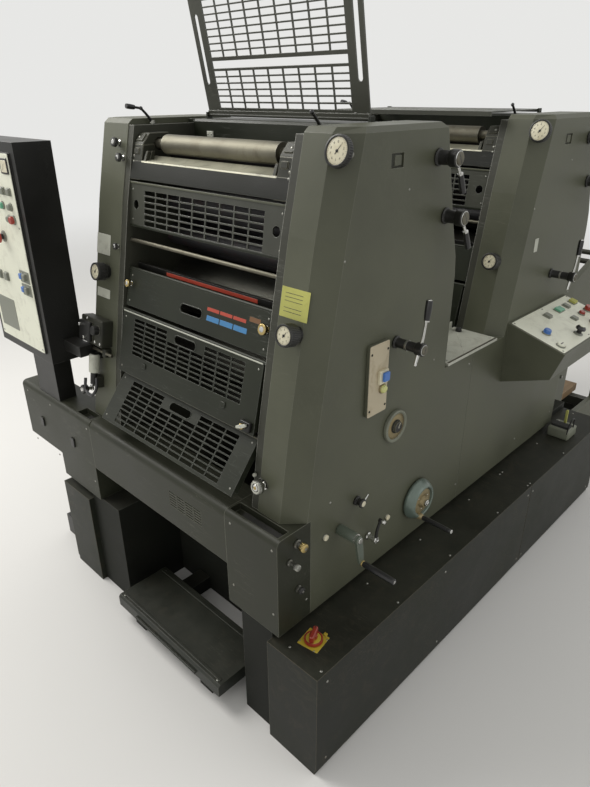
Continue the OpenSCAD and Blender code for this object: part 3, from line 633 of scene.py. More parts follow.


# ---------------------------------------------------------------- finishes

# base: colour; sheen: strength of the mirror image; patch: how far the colour wanders; smudge:
# colour of stains; grain: height of the texture; wear_and_highlight: colour of rubbed edges, partly
# real wear and partly painted edge highlight; wear_and_highlight_r: how far in from an edge they
# reach, in metres; soft: sharp edges are shaded round. What is left out is as in make_finish.
FINISHES = {
    "housing enamel": dict(
        base=(0.081, 0.085, 0.057), sheen=0.38, patch=0.16, grain=0.25, grain_scale=1100,
        wear_and_highlight=(0.3, 0.3, 0.25), wear_and_highlight_r=0.0022, dust=0.22, scratch=0.25, soft=True,
    ),
    # cover enamel: the housings' enamel made darker, as painted shade over the delivery boxes, the
    # cross cover and the window frames
    "cover enamel with painted shade": dict(
        base=(0.027, 0.029, 0.019), sheen=0.24, patch=0.22, grain=0.25, grain_scale=1100,
        wear_and_highlight=(0.26, 0.26, 0.21), wear_and_highlight_r=0.0025, wear_and_highlight_amount=0.6, dust=0.14, scratch=0.5, soft=True,
    ),
    "plinth enamel": dict(
        base=(0.014, 0.016, 0.011), sheen=0.2, patch=0.35, smudge=(0.04, 0.034, 0.022), grain=0.3,
        grain_scale=700, wear_and_highlight=(0.17, 0.15, 0.11), wear_and_highlight_r=0.0025, wear_and_highlight_amount=0.7, dust=0.3,
        scratch=0.7, soft=True,
    ),
    "bed iron": dict(
        base=(0.01, 0.011, 0.008), rough=0.6, sheen=0.2, patch=0.4, grain=0.8, grain_scale=380,
        wear_and_highlight=(0.15, 0.15, 0.13), wear_and_highlight_r=0.003, dust=0.35, scratch=0.2, soft=True,
    ),
    "board paint": dict(
        base=(0.016, 0.019, 0.014), rough=0.38, sheen=0.35, patch=0.35,
        smudge=(0.035, 0.032, 0.022), grain=0.5, grain_scale=500, wear_and_highlight=(0.1, 0.1, 0.08),
        wear_and_highlight_r=0.003, wear_and_highlight_amount=0.7, dust=0.3, scratch=0.9, soft=True,
    ),
    "frame iron": dict(
        base=(0.04, 0.041, 0.03), rough=0.5, sheen=0.35, grain=0.8, grain_scale=420,
        wear_and_highlight=(0.42, 0.42, 0.38), wear_and_highlight_r=0.0025, wear_and_highlight_amount=0.9, dust=0.2, scratch=0.4, soft=True,
    ),
    "guard enamel": dict(
        base=(0.017, 0.02, 0.012), rough=0.4, sheen=0.28, grain=0.25, grain_scale=1100,
        wear_and_highlight=(0.26, 0.27, 0.25), wear_and_highlight_r=0.0012, wear_and_highlight_amount=0.8, dust=0.25, scratch=0.4, soft=True,
    ),
    "ink guard enamel": dict(
        base=(0.046, 0.048, 0.036), rough=0.36, patch=0.25, grain=0.25, grain_scale=1100,
        wear_and_highlight=(0.3, 0.31, 0.28), wear_and_highlight_r=0.0012, wear_and_highlight_amount=0.9, dust=0.2, scratch=0.4, soft=True,
    ),
    # pale enamel: also the painted highlight strip along the blanket guard's top edge
    "pale enamel": dict(
        base=(0.46, 0.47, 0.4), rough=0.4, patch=0.12, smudge=(0.2, 0.19, 0.15), grain=0.2,
        grain_scale=900, wear_and_highlight=(0.75, 0.75, 0.7), wear_and_highlight_r=0.002, wear_and_highlight_amount=0.9, dust=0.25,
        scratch=0.5, soft=True,
    ),
    "plate beige": dict(
        base=(0.47, 0.41, 0.29), patch=0.1, smudge=(0.27, 0.21, 0.12), grain=0.2, grain_scale=900,
        wear_and_highlight=(0.62, 0.56, 0.43), wear_and_highlight_amount=0.7, dust=0.2, scratch=0.4,
    ),
    "panel white": dict(
        base=(0.78, 0.79, 0.66), rough=0.38, patch=0.06, smudge=(0.5, 0.49, 0.4), grain=0.15,
        grain_scale=1200, wear_and_highlight=(0.45, 0.45, 0.4), wear_and_highlight_amount=0.4, scratch=0.2,
    ),
    "ivory face": dict(
        base=(0.66, 0.62, 0.46), rough=0.32, coat=0.3, patch=0.08, smudge=(0.42, 0.36, 0.22),
        wear_and_highlight=(0.5, 0.46, 0.33), wear_and_highlight_r=0.0008, scratch=0.1,
    ),
    "ink stained blade": dict(
        base=(0.4, 0.39, 0.3), metallic=0.4, patch=0.35, smudge=(0.05, 0.05, 0.045), grain=0.15,
        grain_scale=900, wear_and_highlight=(0.6, 0.6, 0.56), wear_and_highlight_amount=0.8, dust=0.15, scratch=0.6, soft=True,
    ),
    "cheek iron": dict(
        base=(0.03, 0.031, 0.022), rough=0.45, metallic=0.2, sheen=0.3, patch=0.35,
        smudge=(0.02, 0.02, 0.018), grain=0.6, grain_scale=450, wear_and_highlight=(0.3, 0.29, 0.22),
        wear_and_highlight_r=0.002, wear_and_highlight_amount=0.7, dust=0.2, scratch=0.4, soft=True,
    ),
    "rust brown": dict(
        base=(0.16, 0.075, 0.03), rough=0.7, grain=0.6, grain_scale=500, wear_and_highlight=(0.3, 0.2, 0.12),
        scratch=0.2,
    ),
    "black enamel": dict(
        base=(0.009, 0.009, 0.008), rough=0.36, sheen=0.4, grain=0.15, grain_scale=1300,
        wear_and_highlight=(0.2, 0.2, 0.19), wear_and_highlight_r=0.0012, wear_and_highlight_amount=0.7, dust=0.18, soft=True,
    ),
    "grip plastic": dict(
        base=(0.01, 0.01, 0.011), rough=0.26, coat=0.25, patch=0.2, grain_scale=1600,
        wear_and_highlight=(0.06, 0.06, 0.06), wear_and_highlight_amount=0.6, dust=0.14,
    ),
    "roller rubber": dict(
        base=(0.022, 0.021, 0.023), rough=0.5, smudge=(0.05, 0.012, 0.01), grain=0.3,
        grain_scale=800, wear_and_highlight=(0.05, 0.05, 0.05), wear_and_highlight_amount=0.4, scratch=0.1,
    ),
    "wheel enamel": dict(
        base=(0.13, 0.17, 0.145), rough=0.28, metallic=0.25, coat=0.3, patch=0.2, grain=0.2,
        grain_scale=1000, wear_and_highlight=(0.55, 0.56, 0.52), wear_and_highlight_r=0.0015, wear_and_highlight_amount=0.8, dust=0.15,
    ),
    "crank enamel": dict(
        base=(0.085, 0.105, 0.08), rough=0.33, patch=0.25, grain=0.2, grain_scale=1000,
        wear_and_highlight=(0.45, 0.45, 0.4), wear_and_highlight_r=0.0012, wear_and_highlight_amount=0.8, dust=0.12,
    ),
    "switch red": dict(
        base=(0.33, 0.03, 0.016), rough=0.3, coat=0.2, patch=0.25, grain=0.12, grain_scale=1200,
        wear_and_highlight=(0.46, 0.1, 0.06), wear_and_highlight_r=0.0012, wear_and_highlight_amount=0.7, dust=0.12, scratch=0.4,
    ),
    "switch yellow": dict(
        base=(0.55, 0.42, 0.035), rough=0.38, patch=0.25, smudge=(0.2, 0.14, 0.02), grain=0.12,
        grain_scale=1200, wear_and_highlight=(0.75, 0.66, 0.22), wear_and_highlight_r=0.0012, wear_and_highlight_amount=0.7, dust=0.15,
        scratch=0.4,
    ),
    "button blue": dict(
        base=(0.045, 0.16, 0.5), rough=0.3, coat=0.3, patch=0.1, grain=0.08, wear_and_highlight=(0.25, 0.42, 0.7),
        wear_and_highlight_r=0.0008, scratch=0.1,
    ),
    "button green": dict(
        base=(0.1, 0.36, 0.22), rough=0.3, coat=0.3, patch=0.1, grain=0.08, wear_and_highlight=(0.35, 0.6, 0.45),
        wear_and_highlight_r=0.0008, scratch=0.1,
    ),
    "button grey": dict(
        base=(0.2, 0.21, 0.17), rough=0.35, patch=0.1, wear_and_highlight=(0.4, 0.4, 0.36), wear_and_highlight_r=0.0008,
        scratch=0.1,
    ),
    "lamp glass": dict(
        base=(0.55, 0.56, 0.2), rough=0.15, coat=0.8, patch=0.1, grain=0.05, grain_scale=400,
        wear_and_highlight=(0.7, 0.7, 0.4), wear_and_highlight_r=0.0008, wear_and_highlight_amount=0.4, dust=0.08, scratch=0.05,
    ),
    "note paper": dict(
        base=(0.42, 0.42, 0.11), rough=0.7, patch=0.15, smudge=(0.3, 0.28, 0.06), grain=0.2,
        wear_and_highlight=(0.6, 0.58, 0.25), wear_and_highlight_r=0.0006, dust=0.05, scratch=0.1,
    ),
    "tape red": dict(
        base=(0.42, 0.055, 0.03), rough=0.5, patch=0.2, wear_and_highlight=(0.5, 0.15, 0.1), wear_and_highlight_r=0.0006
    ),
    "tape blue": dict(
        base=(0.05, 0.2, 0.42), rough=0.5, patch=0.2, wear_and_highlight=(0.2, 0.35, 0.5), wear_and_highlight_r=0.0006
    ),
    # print ink: also the black bar of painted shade in the slot of each lever cap
    "print ink and painted slot shade": dict(
        base=(0.02, 0.02, 0.02), rough=0.5, patch=0.1, grain=0.05, grain_scale=900,
        wear_and_highlight=(0.05, 0.05, 0.05), wear_and_highlight_r=0.0005, wear_and_highlight_amount=0.2, dust=0.0, scratch=0.0,
    ),
    "pile board wood": dict(
        base=(0.32, 0.21, 0.11), rough=0.65, smudge=(0.16, 0.1, 0.05), grain=0.4, grain_scale=500,
        stretch=(0.08, 1.0, 1.0), wear_and_highlight=(0.48, 0.36, 0.22), wear_and_highlight_r=0.004, wear_and_highlight_amount=0.9, dust=0.25,
        scratch=0.5, soft=True,
    ),
    "pedal cast": dict(
        base=(0.15, 0.16, 0.12), rough=0.5, patch=0.25, grain=0.7, grain_scale=420,
        wear_and_highlight=(0.4, 0.4, 0.34), wear_and_highlight_r=0.003, wear_and_highlight_amount=0.8, dust=0.25, scratch=0.4, soft=True,
    ),
    "ground steel": dict(
        base=(0.19, 0.18, 0.14), rough=0.52, metallic=1.0, patch=0.4, smudge=(0.1, 0.085, 0.06),
        grain=0.35, grain_scale=700, stretch=(1.0, 0.02, 1.0), wear_and_highlight=(0.7, 0.7, 0.68), dust=0.12,
        scratch=0.4,
    ),
    "cylinder steel": dict(
        base=(0.1, 0.1, 0.085), metallic=0.9, smudge=(0.05, 0.03, 0.02), grain=0.35,
        grain_scale=700, stretch=(1.0, 0.02, 1.0), wear_and_highlight=(0.6, 0.6, 0.58),
    ),
    "duct steel": dict(
        base=(0.24, 0.24, 0.22), rough=0.36, metallic=0.9, patch=0.4, smudge=(0.03, 0.03, 0.03),
        grain=0.3, grain_scale=600, stretch=(1.0, 0.03, 1.0), wear_and_highlight=(0.6, 0.6, 0.57),
        wear_and_highlight_amount=0.7, dust=0.15, scratch=0.5, soft=True,
    ),
    "chrome": dict(
        base=(0.62, 0.62, 0.6), rough=0.14, metallic=1.0, patch=0.15, smudge=(0.3, 0.28, 0.22),
        grain=0.06, wear_and_highlight=(0.75, 0.74, 0.7), wear_and_highlight_r=0.0008, wear_and_highlight_amount=0.3,
    ),
    "worn brass": dict(
        base=(0.52, 0.4, 0.17), rough=0.28, metallic=1.0, smudge=(0.18, 0.13, 0.06),
        wear_and_highlight=(0.75, 0.62, 0.35), wear_and_highlight_r=0.0008, wear_and_highlight_amount=0.6,
    ),
    "dull brass": dict(
        base=(0.27, 0.22, 0.12), metallic=0.6, smudge=(0.12, 0.09, 0.045), grain=0.15,
        grain_scale=1300, wear_and_highlight=(0.55, 0.46, 0.27), wear_and_highlight_r=0.0008, wear_and_highlight_amount=0.6, dust=0.12,
    ),
    "fastener steel": dict(
        base=(0.3, 0.3, 0.27), rough=0.34, metallic=1.0, patch=0.2, smudge=(0.12, 0.09, 0.05),
        wear_and_highlight=(0.6, 0.6, 0.56), wear_and_highlight_r=0.0006, wear_and_highlight_amount=0.6, dust=0.12, scratch=0.2,
    ),
    "rubber mat": dict(
        base=(0.013, 0.014, 0.013), rough=0.7, grain=0.6, grain_scale=500, wear_and_highlight=(0.05, 0.05, 0.05),
        wear_and_highlight_amount=0.4, dust=0.35, scratch=0.1,
    ),
    "belt web": dict(
        base=(0.36, 0.37, 0.33), rough=0.75, patch=0.15, grain=0.6, grain_scale=1400,
        stretch=(0.2, 1.0, 1.0), wear_and_highlight=(0.5, 0.5, 0.45), wear_and_highlight_amount=0.3, scratch=0.1,
    ),
}
MADE = {}


def finish_of(name):
    """Builds a finish the first time it is asked for."""
    if name not in MADE:
        MADE[name] = make_finish(name, **FINISHES[name])
    return MADE[name]


def make_finish(
    name, base, wear_and_highlight, rough=0.42, metallic=0.0, sheen=0.5, coat=0.0, patch=0.3, smudge=None,
    grain=0.1, grain_scale=1500, stretch=None, wear_and_highlight_r=0.001, wear_and_highlight_amount=0.5, dust=0.1, scratch=0.3,
    soft=False,
):
    """A painted, plastic or metal surface: patchy base colour, smudges, pale rubbed edges that are
    partly real wear and partly painted edge highlight, scratches and dust, each from a shared
    group; gloss follows the same masks."""
    m = bpy.data.materials.new(name)
    m.use_nodes = True
    t = m.node_tree
    t.nodes.clear()
    where = wire(t, "ShaderNodeTexCoord")["Object"]

    def use(key, **values):
        """Adds a shared group with its settings."""
        node = t.nodes.new("ShaderNodeGroup")
        node.node_tree = GROUPS[key]
        t.links.new(where, node.inputs["Vector"])
        for label, value in values.items():
            node.inputs[label].default_value = value
        return node.outputs

    def shade(factor):
        """The base colour, darker or lighter."""
        return tuple(c * factor for c in base)

    texture = use("grain", Scale=float(grain_scale))
    # pale rubbed edges: partly real wear, partly painted highlight along the edges
    rubbed = use("wear_and_highlight", Radius=wear_and_highlight_r, Scale=45.0)
    settled = use("dust", Amount=dust)
    scraped = use("scratch", Amount=scratch)
    colour = mixed(t, texture["Patches"], shade(1.0 - patch), shade(1.0 + patch))
    height = texture["Height"]
    if stretch is not None:
        marks = use("grind", Stretch=stretch, Scale=float(grain_scale))
        colour = mixed(t, ramp(t, marks["Tone"], 0.3, 0.7, 0.0, 0.35), colour, shade(0.45))
        height = marks["Height"]
    if smudge is not None:
        colour = mixed(t, calc(t, "MULTIPLY", texture["Smudges"], 0.65), colour, smudge)
    bare = tuple(min(1.0, 0.5 * (a + b)) for a, b in zip(base, wear_and_highlight))
    colour = mixed(t, scraped["Mask"], colour, bare)
    # the edge colour goes on here: partly wear, partly painted edge highlight
    colour = mixed(t, calc(t, "MULTIPLY", rubbed["Mask"], wear_and_highlight_amount), colour, wear_and_highlight)
    dusty = tuple(0.72 * c + 0.28 * d for c, d in zip(base, DUST))
    colour = mixed(t, settled["Mask"], colour, dusty)
    gloss = ramp(t, texture["Patches"], 0.0, 1.0, rough - 0.05, rough + 0.09)
    dull = calc(t, "MULTIPLY", settled["Mask"], 0.35)
    bump = {"Strength": grain, "Distance": 0.0004, "Height": height}
    if soft:
        bump["Normal"] = rubbed["Normal"]
    surface = {
        "Base Color": colour,
        "Roughness": calc(t, "ADD", gloss, dull),
        "Normal": wire(t, "ShaderNodeBump", bump)[0],
        "Metallic": metallic,
        "Specular IOR Level": sheen,
        "Coat Weight": coat,
        "Coat Roughness": 0.12,
    }
    bsdf = wire(t, "ShaderNodeBsdfPrincipled", surface)
    wire(t, "ShaderNodeOutputMaterial", {0: bsdf[0]})
    m.diffuse_color = (*base, 1.0)
    return m


# the frame's nodes under their finish
DRESSED = {
    "plinth enamel": "foot_plinth_operator foot_plinth_drive",
    "bed iron": "machine_bed delivery_well_rails",
    "board paint": "delivery_board",
    "frame iron": "side_frame_operator side_frame_drive feeder_ties suction_head",
    "housing enamel": (
        "operator_housing_2 operator_housing_1 drive_housing_2 drive_housing_1 side_controls "
        "console feeder_side_operator feeder_side_drive"
    ),
    # the delivery boxes and cross cover take the darker enamel, whose darkness is painted shade
    "cover enamel with painted shade": "delivery_box_operator delivery_box_drive delivery_cross_cover",
    "pale enamel": "saddle_tray",
    "guard enamel": (
        "unit_top_covers unit_back_covers plate_guard blanket_guard delivery_guard " "unit_1_guards"
    ),
    "ink guard enamel": "ink_grilles ink_guard_open ink_guard_closed",
    "duct steel": "ink_ducts feed_table",
    "ground steel": "fountain_roller_2 fountain_roller_1",
    "roller rubber": "ink_rollers",
    "cylinder steel": "press_cylinders",
    "black enamel": (
        "upper_lever_2 lower_lever_2 impression_lever_2 upper_lever_1 lower_lever_1 "
        "impression_lever_1 short_crank control_cabinet cabinet_carrier drive_motor"
    ),
    "wheel enamel": "hand_wheel",
    "crank enamel": "crank",
    "switch red": "main_switch",
    "ivory face": "scale_dials",
    "pedal cast": "foot_pedal",
    "pile board wood": "feed_pile_board",
}


def dress(node, finish):
    """Gives a frame node its finish through its object's material slots."""
    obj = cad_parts[node]
    if not obj.material_slots:
        obj.data.materials.append(finish_of(finish))
    for s in obj.material_slots:
        s.material = finish_of(finish)


# ---------------------------------------------------------------- properties

class PressLeverProperties(bpy.types.PropertyGroup):
    """Sizes of the side levers"""
    hub_radius: bpy.props.FloatProperty(
        name="Hub radius", description="Radius of the black lever hubs", default=0.021, min=0.015,
        max=0.024, unit="LENGTH",
    )
    grip_radius: bpy.props.FloatProperty(
        name="Grip radius", description="Radius of the levers' grips", default=0.008, min=0.005,
        max=0.010, unit="LENGTH",
    )
    bow: bpy.props.FloatProperty(
        name="Bow", description="How far a lever's arm bows out", default=0.006, min=0.0, max=0.012,
        unit="LENGTH",
    )


class PressDialProperties(bpy.types.PropertyGroup):
    """Sizes of the scale dials"""
    radius: bpy.props.FloatProperty(
        name="Dial radius", description="Radius of the top dials", default=0.034, min=0.028,
        max=0.036, unit="LENGTH",
    )
    marks: bpy.props.IntProperty(
        name="Marks", description="Number of marks round a dial", default=40, min=10, max=80
    )
    rib_depth: bpy.props.FloatProperty(
        name="Rib depth", description="Depth of the grip ribs on dials and knobs", default=0.0012,
        min=0.0, max=0.003, unit="LENGTH",
    )


class PressPanelProperties(bpy.types.PropertyGroup):
    """Sizes on the console and the control cabinet"""
    key_size: bpy.props.FloatProperty(
        name="Key size", description="Width of the console's square keys", default=0.024, min=0.016,
        max=0.03, unit="LENGTH",
    )
    screw_radius: bpy.props.FloatProperty(
        name="Screw radius", description="Radius of the panel screws", default=0.0035, min=0.002,
        max=0.006, unit="LENGTH",
    )


class PressStageProperties(bpy.types.PropertyGroup):
    """Floor, backdrop and lamps"""
    floor_tone: bpy.props.FloatVectorProperty(
        name="Floor", description="Colour of the studio floor", default=(0.74, 0.735, 0.72),
        subtype="COLOR", min=0.0, max=1.0,
    )
    backdrop: bpy.props.FloatVectorProperty(
        name="Backdrop", description="Colour behind the press", default=(0.80, 0.80, 0.785),
        subtype="COLOR", min=0.0, max=1.0,
    )
    key_power: bpy.props.FloatProperty(
        name="Key light", description="Power of the large lamp over the delivery", default=115.0,
        min=0.0, unit="POWER",
    )
    fill_power: bpy.props.FloatProperty(
        name="Fill light", description="Power of the lamp on the operator's side", default=14.0,
        min=0.0, unit="POWER",
    )


def mm(value):
    """A property given in metres, as millimetres."""
    return value * 1000.0


# ---------------------------------------------------------------- pieces

def cap_lever(angle, length, hub_l, hub_r, grip_r, bow, start=0.44, tail=False):
    """Hub turned from a profile, a chrome ring with a cap whose slot is a thin black bar of painted
    shade, and an arm on a bowed path with a swelling grip; a tail, where there is one, is a second
    short rod with a ball."""
    d = ray(angle)
    z = hub_l - 12.0
    hub = [
        (0.4, hub_r - 1), (1.4, hub_r), (5, hub_r), (7, hub_r - 3), (10, hub_r - 4),
        (hub_l - 24, hub_r - 4), (hub_l - 22, hub_r - 1), (hub_l - 20, hub_r), (hub_l - 1.5, hub_r),
        (hub_l, hub_r - 1.5),
    ]
    collar = [
        (hub_l - 1, hub_r - 3), (hub_l + 0.8, hub_r - 3.2), (hub_l + 1.2, hub_r - 4.5),
        (hub_l + 0.2, hub_r - 5),
    ]
    arm = [
        d * (hub_r - 6) + [0, 0, z],
        d * length * 0.25 + [0, 0, z + bow * 0.7],
        d * length * (start + 0.06) + [0, 0, z + bow],
    ]
    # the cap's slot: a thin black bar of painted shade in place of a groove
    slot = block(-hub_r + 8, -1.1, hub_l + 3.0, hub_r - 8, 1.1, hub_l + 3.8, 0.3)
    end = 0.97
    grip = np.linspace(start, end, 14)
    swell = np.sin((grip - start) / (end - start) * np.pi * 0.62 + 0.35)
    swell = grip_r * (0.72 + 0.28 * swell)
    rise = bow * (1.2 - 0.6 * (grip - start))
    path = d * (grip * length)[:, None] + np.array([0, 0, 1.0]) * (z + rise)[:, None]
    ring_path = [path[0] - d * 2.5, path[0], path[0] + d * 1.0]
    tip = [path[-1], path[-1] + d * 1.5, path[-1] + d * 3.0]
    tip_radii = [swell[-1] * 0.8, swell[-1] * 0.78, swell[-1] * 0.45]
    parts = [
        ("black enamel", turned(hub, 48)),
        ("chrome", turned(collar, 48)),
        ("ground steel", drum(hub_r - 5.2, hub_l - 1, hub_l + 3.4, 0.8)),
        ("print ink and painted slot shade", turn(slot, angle)),
        ("chrome", tube(bend(arm), np.linspace(4.6, 3.6, 24))),
        ("grip plastic", tube(path, swell, 20)),
        ("chrome", tube(ring_path, [swell[0] + 0.4] * 3, 20)),
        ("chrome", tube(tip, tip_radii, 20)),
    ]
    if tail:
        d = ray(-110)
        z = hub_l - 14
        q = np.linspace(0, 1, 12)
        rod = [d * (12 + 30 * s) + [0, 0, z] for s in q]
        band = [
            (hub_l * 0.40, hub_r - 2.5), (hub_l * 0.43, hub_r - 2.2), (hub_l * 0.46, hub_r - 2.5)
        ]
        parts += [
            ("chrome", tube(rod, 5.2 - 1.4 * q, 16)),
            ("chrome", move(ball(4.6), *(d * 42 + [0, 0, z]))),
            ("fastener steel", turned(band, 48)),
        ]
    return parts


class PRESS_OT_groups(bpy.types.Operator):
    """Builds the shared shader groups"""
    bl_idname = "press.groups"
    bl_label = "Shader groups"

    def execute(self, context):
        build_groups()
        return {"FINISHED"}


class PRESS_OT_finishes(bpy.types.Operator):
    """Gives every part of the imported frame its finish"""
    bl_idname = "press.finishes"
    bl_label = "Frame finishes"

    def execute(self, context):
        bare = set(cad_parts)
        for finish, nodes in DRESSED.items():
            for node in nodes.split():
                dress(node, finish)
                bare.discard(node)
        if bare:
            raise RuntimeError(f"no finish for {sorted(bare)}")
        return {"FINISHED"}


class PRESS_OT_levers(bpy.types.Operator):
    """Six side levers, with hub, cap, bowed arm and grip"""
    bl_idname = "press.levers"
    bl_label = "Side levers"

    def execute(self, context):
        p = context.scene.press_levers
        hub, grip, bow = mm(p.hub_radius), mm(p.grip_radius), mm(p.bow)
        plain = cap_lever(angle=-62, length=96, hub_l=58, hub_r=hub, grip_r=grip, bow=bow)
        tailed = cap_lever(
            angle=82, length=130, hub_l=88, hub_r=17, grip_r=9, bow=4, start=0.58, tail=True
        )
        for unit, number in ((0, 2), (1, 1)):
            for kind, (x, h), parts in (
                ("upper", UPPER_LEVER, plain),
                ("lower", LOWER_LEVER, plain),
                ("impression", IMPRESSION_LEVER, tailed),
            ):
                name = f"{kind}_lever_{number}"
                stand_in(name, seated(on_side(x, h, unit), parts), name)
        return {"FINISHED"}


class PRESS_OT_hand_wheel(bpy.types.Operator):
    """Hand wheel: broad bevelled rim, brass disc, hub, nut and black handle"""
    bl_idname = "press.hand_wheel"
    bl_label = "Hand wheel"

    def execute(self, context):
        rim = [
            (0.4, 58), (1.2, 62), (3, 65), (6, 67.2), (9, 67.8), (12, 67.4), (16, 66), (29, 58.6),
            (33, 55), (35, 52.6), (35.8, 50), (35.4, 47.6), (34, 46), (28, 45.2), (26.6, 44.4),
            (26.4, 42),
        ]
        disc = [(25.6, 41.5), (28.4, 42.6), (29.4, 41), (29.8, 24)]
        hub = [(26, 21), (28, 22), (34, 21), (38, 17.5), (40, 16.8), (41, 15)]
        boss = [(24, 11), (34, 11.5), (42, 9), (44, 7)]
        grip = [(44, 7.2), (50, 7.8), (90, 8.0), (138, 7.0), (145, 6.6), (146, 6.0)]
        cap = [(145, 6.4), (147, 6.6), (148.5, 5.6)]
        places = [(28 * math.cos(a), 28 * math.sin(a)) for a in (0.4, 2.5, 4.6)]
        parts = [
            ("wheel enamel", turned(rim, 72)),
            ("dull brass", turned(disc, 64)),
            ("dull brass", turned(hub, 48)),
            ("chrome", hex_nut(11, 41, 47)),
            ("chrome", drum(5, 47, 51, 1.2)),
            screws(places, 2.2, 29.6, "chrome"),
        ]
        parts += shifted([
            ("dull brass", turned(boss, 32)), ("grip plastic", turned(grip, 8)),
            ("chrome", turned(cap, 32)),
        ], *WHEEL_HANDLE)
        stand_in("hand_wheel", seated(on_side(*HAND_WHEEL), parts), "hand_wheel")
        return {"FINISHED"}


class PRESS_OT_cranks(bpy.types.Operator):
    """Long crank with its flat cast arm and six sided grip, and the short crank above it"""
    bl_idname = "press.cranks"
    bl_label = "Cranks"

    def execute(self, context):
        reach, angle = 86, -80
        s = np.linspace(0, 1, 14)
        width = 11.5 - 3.5 * s + 1.5 * np.sin(np.pi * s)
        left = np.stack([reach * s, width], -1)
        right = np.stack([reach * s, -width], -1)
        e = np.linspace(-np.pi / 2, np.pi / 2, 8)[1:-1]
        tip = np.stack([reach + 8 * np.cos(e), 8 * np.sin(e)], -1)
        heel = np.stack([-11.5 * np.cos(e[::-1]), 11.5 * np.sin(e[::-1])], -1)
        arm = np.concatenate([right, tip, left[::-1], heel])
        hub = [(0.4, 13.5), (3, 15), (10, 15.5), (60, 14.8), (62, 14.2)]
        collar = [(61.6, 13.2), (62, 14.4), (63.4, 14.4), (63.8, 13.2)]
        grip = [(78, 7.6), (84, 8.4), (120, 9.4), (176, 9.0), (181, 8.2), (182, 7.4)]
        parts = [
            ("crank enamel", turned(hub, 48)),
            ("chrome", turned(collar, 48)),
            ("crank enamel", turn(prism(arm, 63.4, 74, 1.6), angle)),
            ("chrome", drum(8.2, 73.6, 77, 1.0)),
            ("fastener steel", hex_nut(6, 76.5, 79.5)),
        ]
        parts += shifted([
            ("worn brass", drum(8.6, 73.6, 78, 1.0)),
            ("grip plastic", turned(grip, 8)),
            ("chrome", drum(4.0, 181.5, 182.2, 0.3)),
        ], *ray(angle, reach))
        stand_in("crank", seated(on_side(*CRANK), parts), "crank")

        reach, angle = 62, 74
        s = np.linspace(0, 1, 18)
        way, across_way = ray(angle), ray(angle + 90)
        arm = [way * reach * t + across_way * 5 * math.sin(math.pi * t) + [0, 0, 32] for t in s]
        hub = [(0.4, 11), (2, 12), (6, 12), (8, 8.5), (20, 8), (22, 10.5), (34, 10.5), (36, 9)]
        knob = [(36, 4.2), (38, 4.2), (39, 6.8), (44, 7.2), (48.6, 5.2), (50, 2.6)]
        parts = [
            ("chrome", turned(hub, 40)),
            ("chrome", drum(4.5, 35.5, 41, 1.5)),
            ("black enamel", tube(arm, 5.2 - 1.2 * s, 16)),
        ]
        parts += shifted([
            ("black enamel", drum(6.4, 27.6, 36.6, 1.2)), ("chrome", turned(knob, 32))
        ], *ray(angle, reach))
        parts = seated(on_side(*SHORT_CRANK), parts)
        stand_in("short_crank", parts, "short_crank")
        return {"FINISHED"}


class PRESS_OT_main_switch(bpy.types.Operator):
    """Red main switch with its raised bar, and the square yellow plate under it"""
    bl_idname = "press.main_switch"
    bl_label = "Main switch"

    def execute(self, context):
        seat = on_top(*MAIN_SWITCH, PLINTH_TOP)
        body = [(0.4, 25), (2, 26), (8, 26), (10, 25.2), (10.4, 23.6), (9.2, 22.6), (8.6, 21.0)]
        parts = [
            ("switch red", turned(body, 64)),
            ("switch yellow", turned([(8.4, 20.4), (9.4, 20.4), (9.6, 19.8)], 48)),
            ("switch red", turn(prism(rounded(-23, -6.6, 23, 6.6, 5.5), 9.4, 31.6, 2.4), 24)),
            ("switch red", drum(11.0, 9.4, 24, 2.0)),
            ("print ink and painted slot shade", turn(block(14, -1.2, 31.2, 21, 1.2, 32.0, 0.3), 24)),
        ]
        stand_in("main_switch", seated(seat, parts), "main_switch")
        plate = prism(rounded(-32, -32, 32, 32, 2.5), -1.0, 0.2, 0.3)
        parts = [
            ("switch yellow", move(turn(plate, 9), 0, 0, -0.05)),
            ("switch yellow", turn(block(28, -22, -0.6, 38, -12, 5, 1.0), 9)),
            screws([(26, 26), (-26, 26), (-26, -26), (26, -26)], 2.4, 0.2),
        ]
        piece("main_switch_plate", seated(seat, parts), BODY)
        return {"FINISHED"}


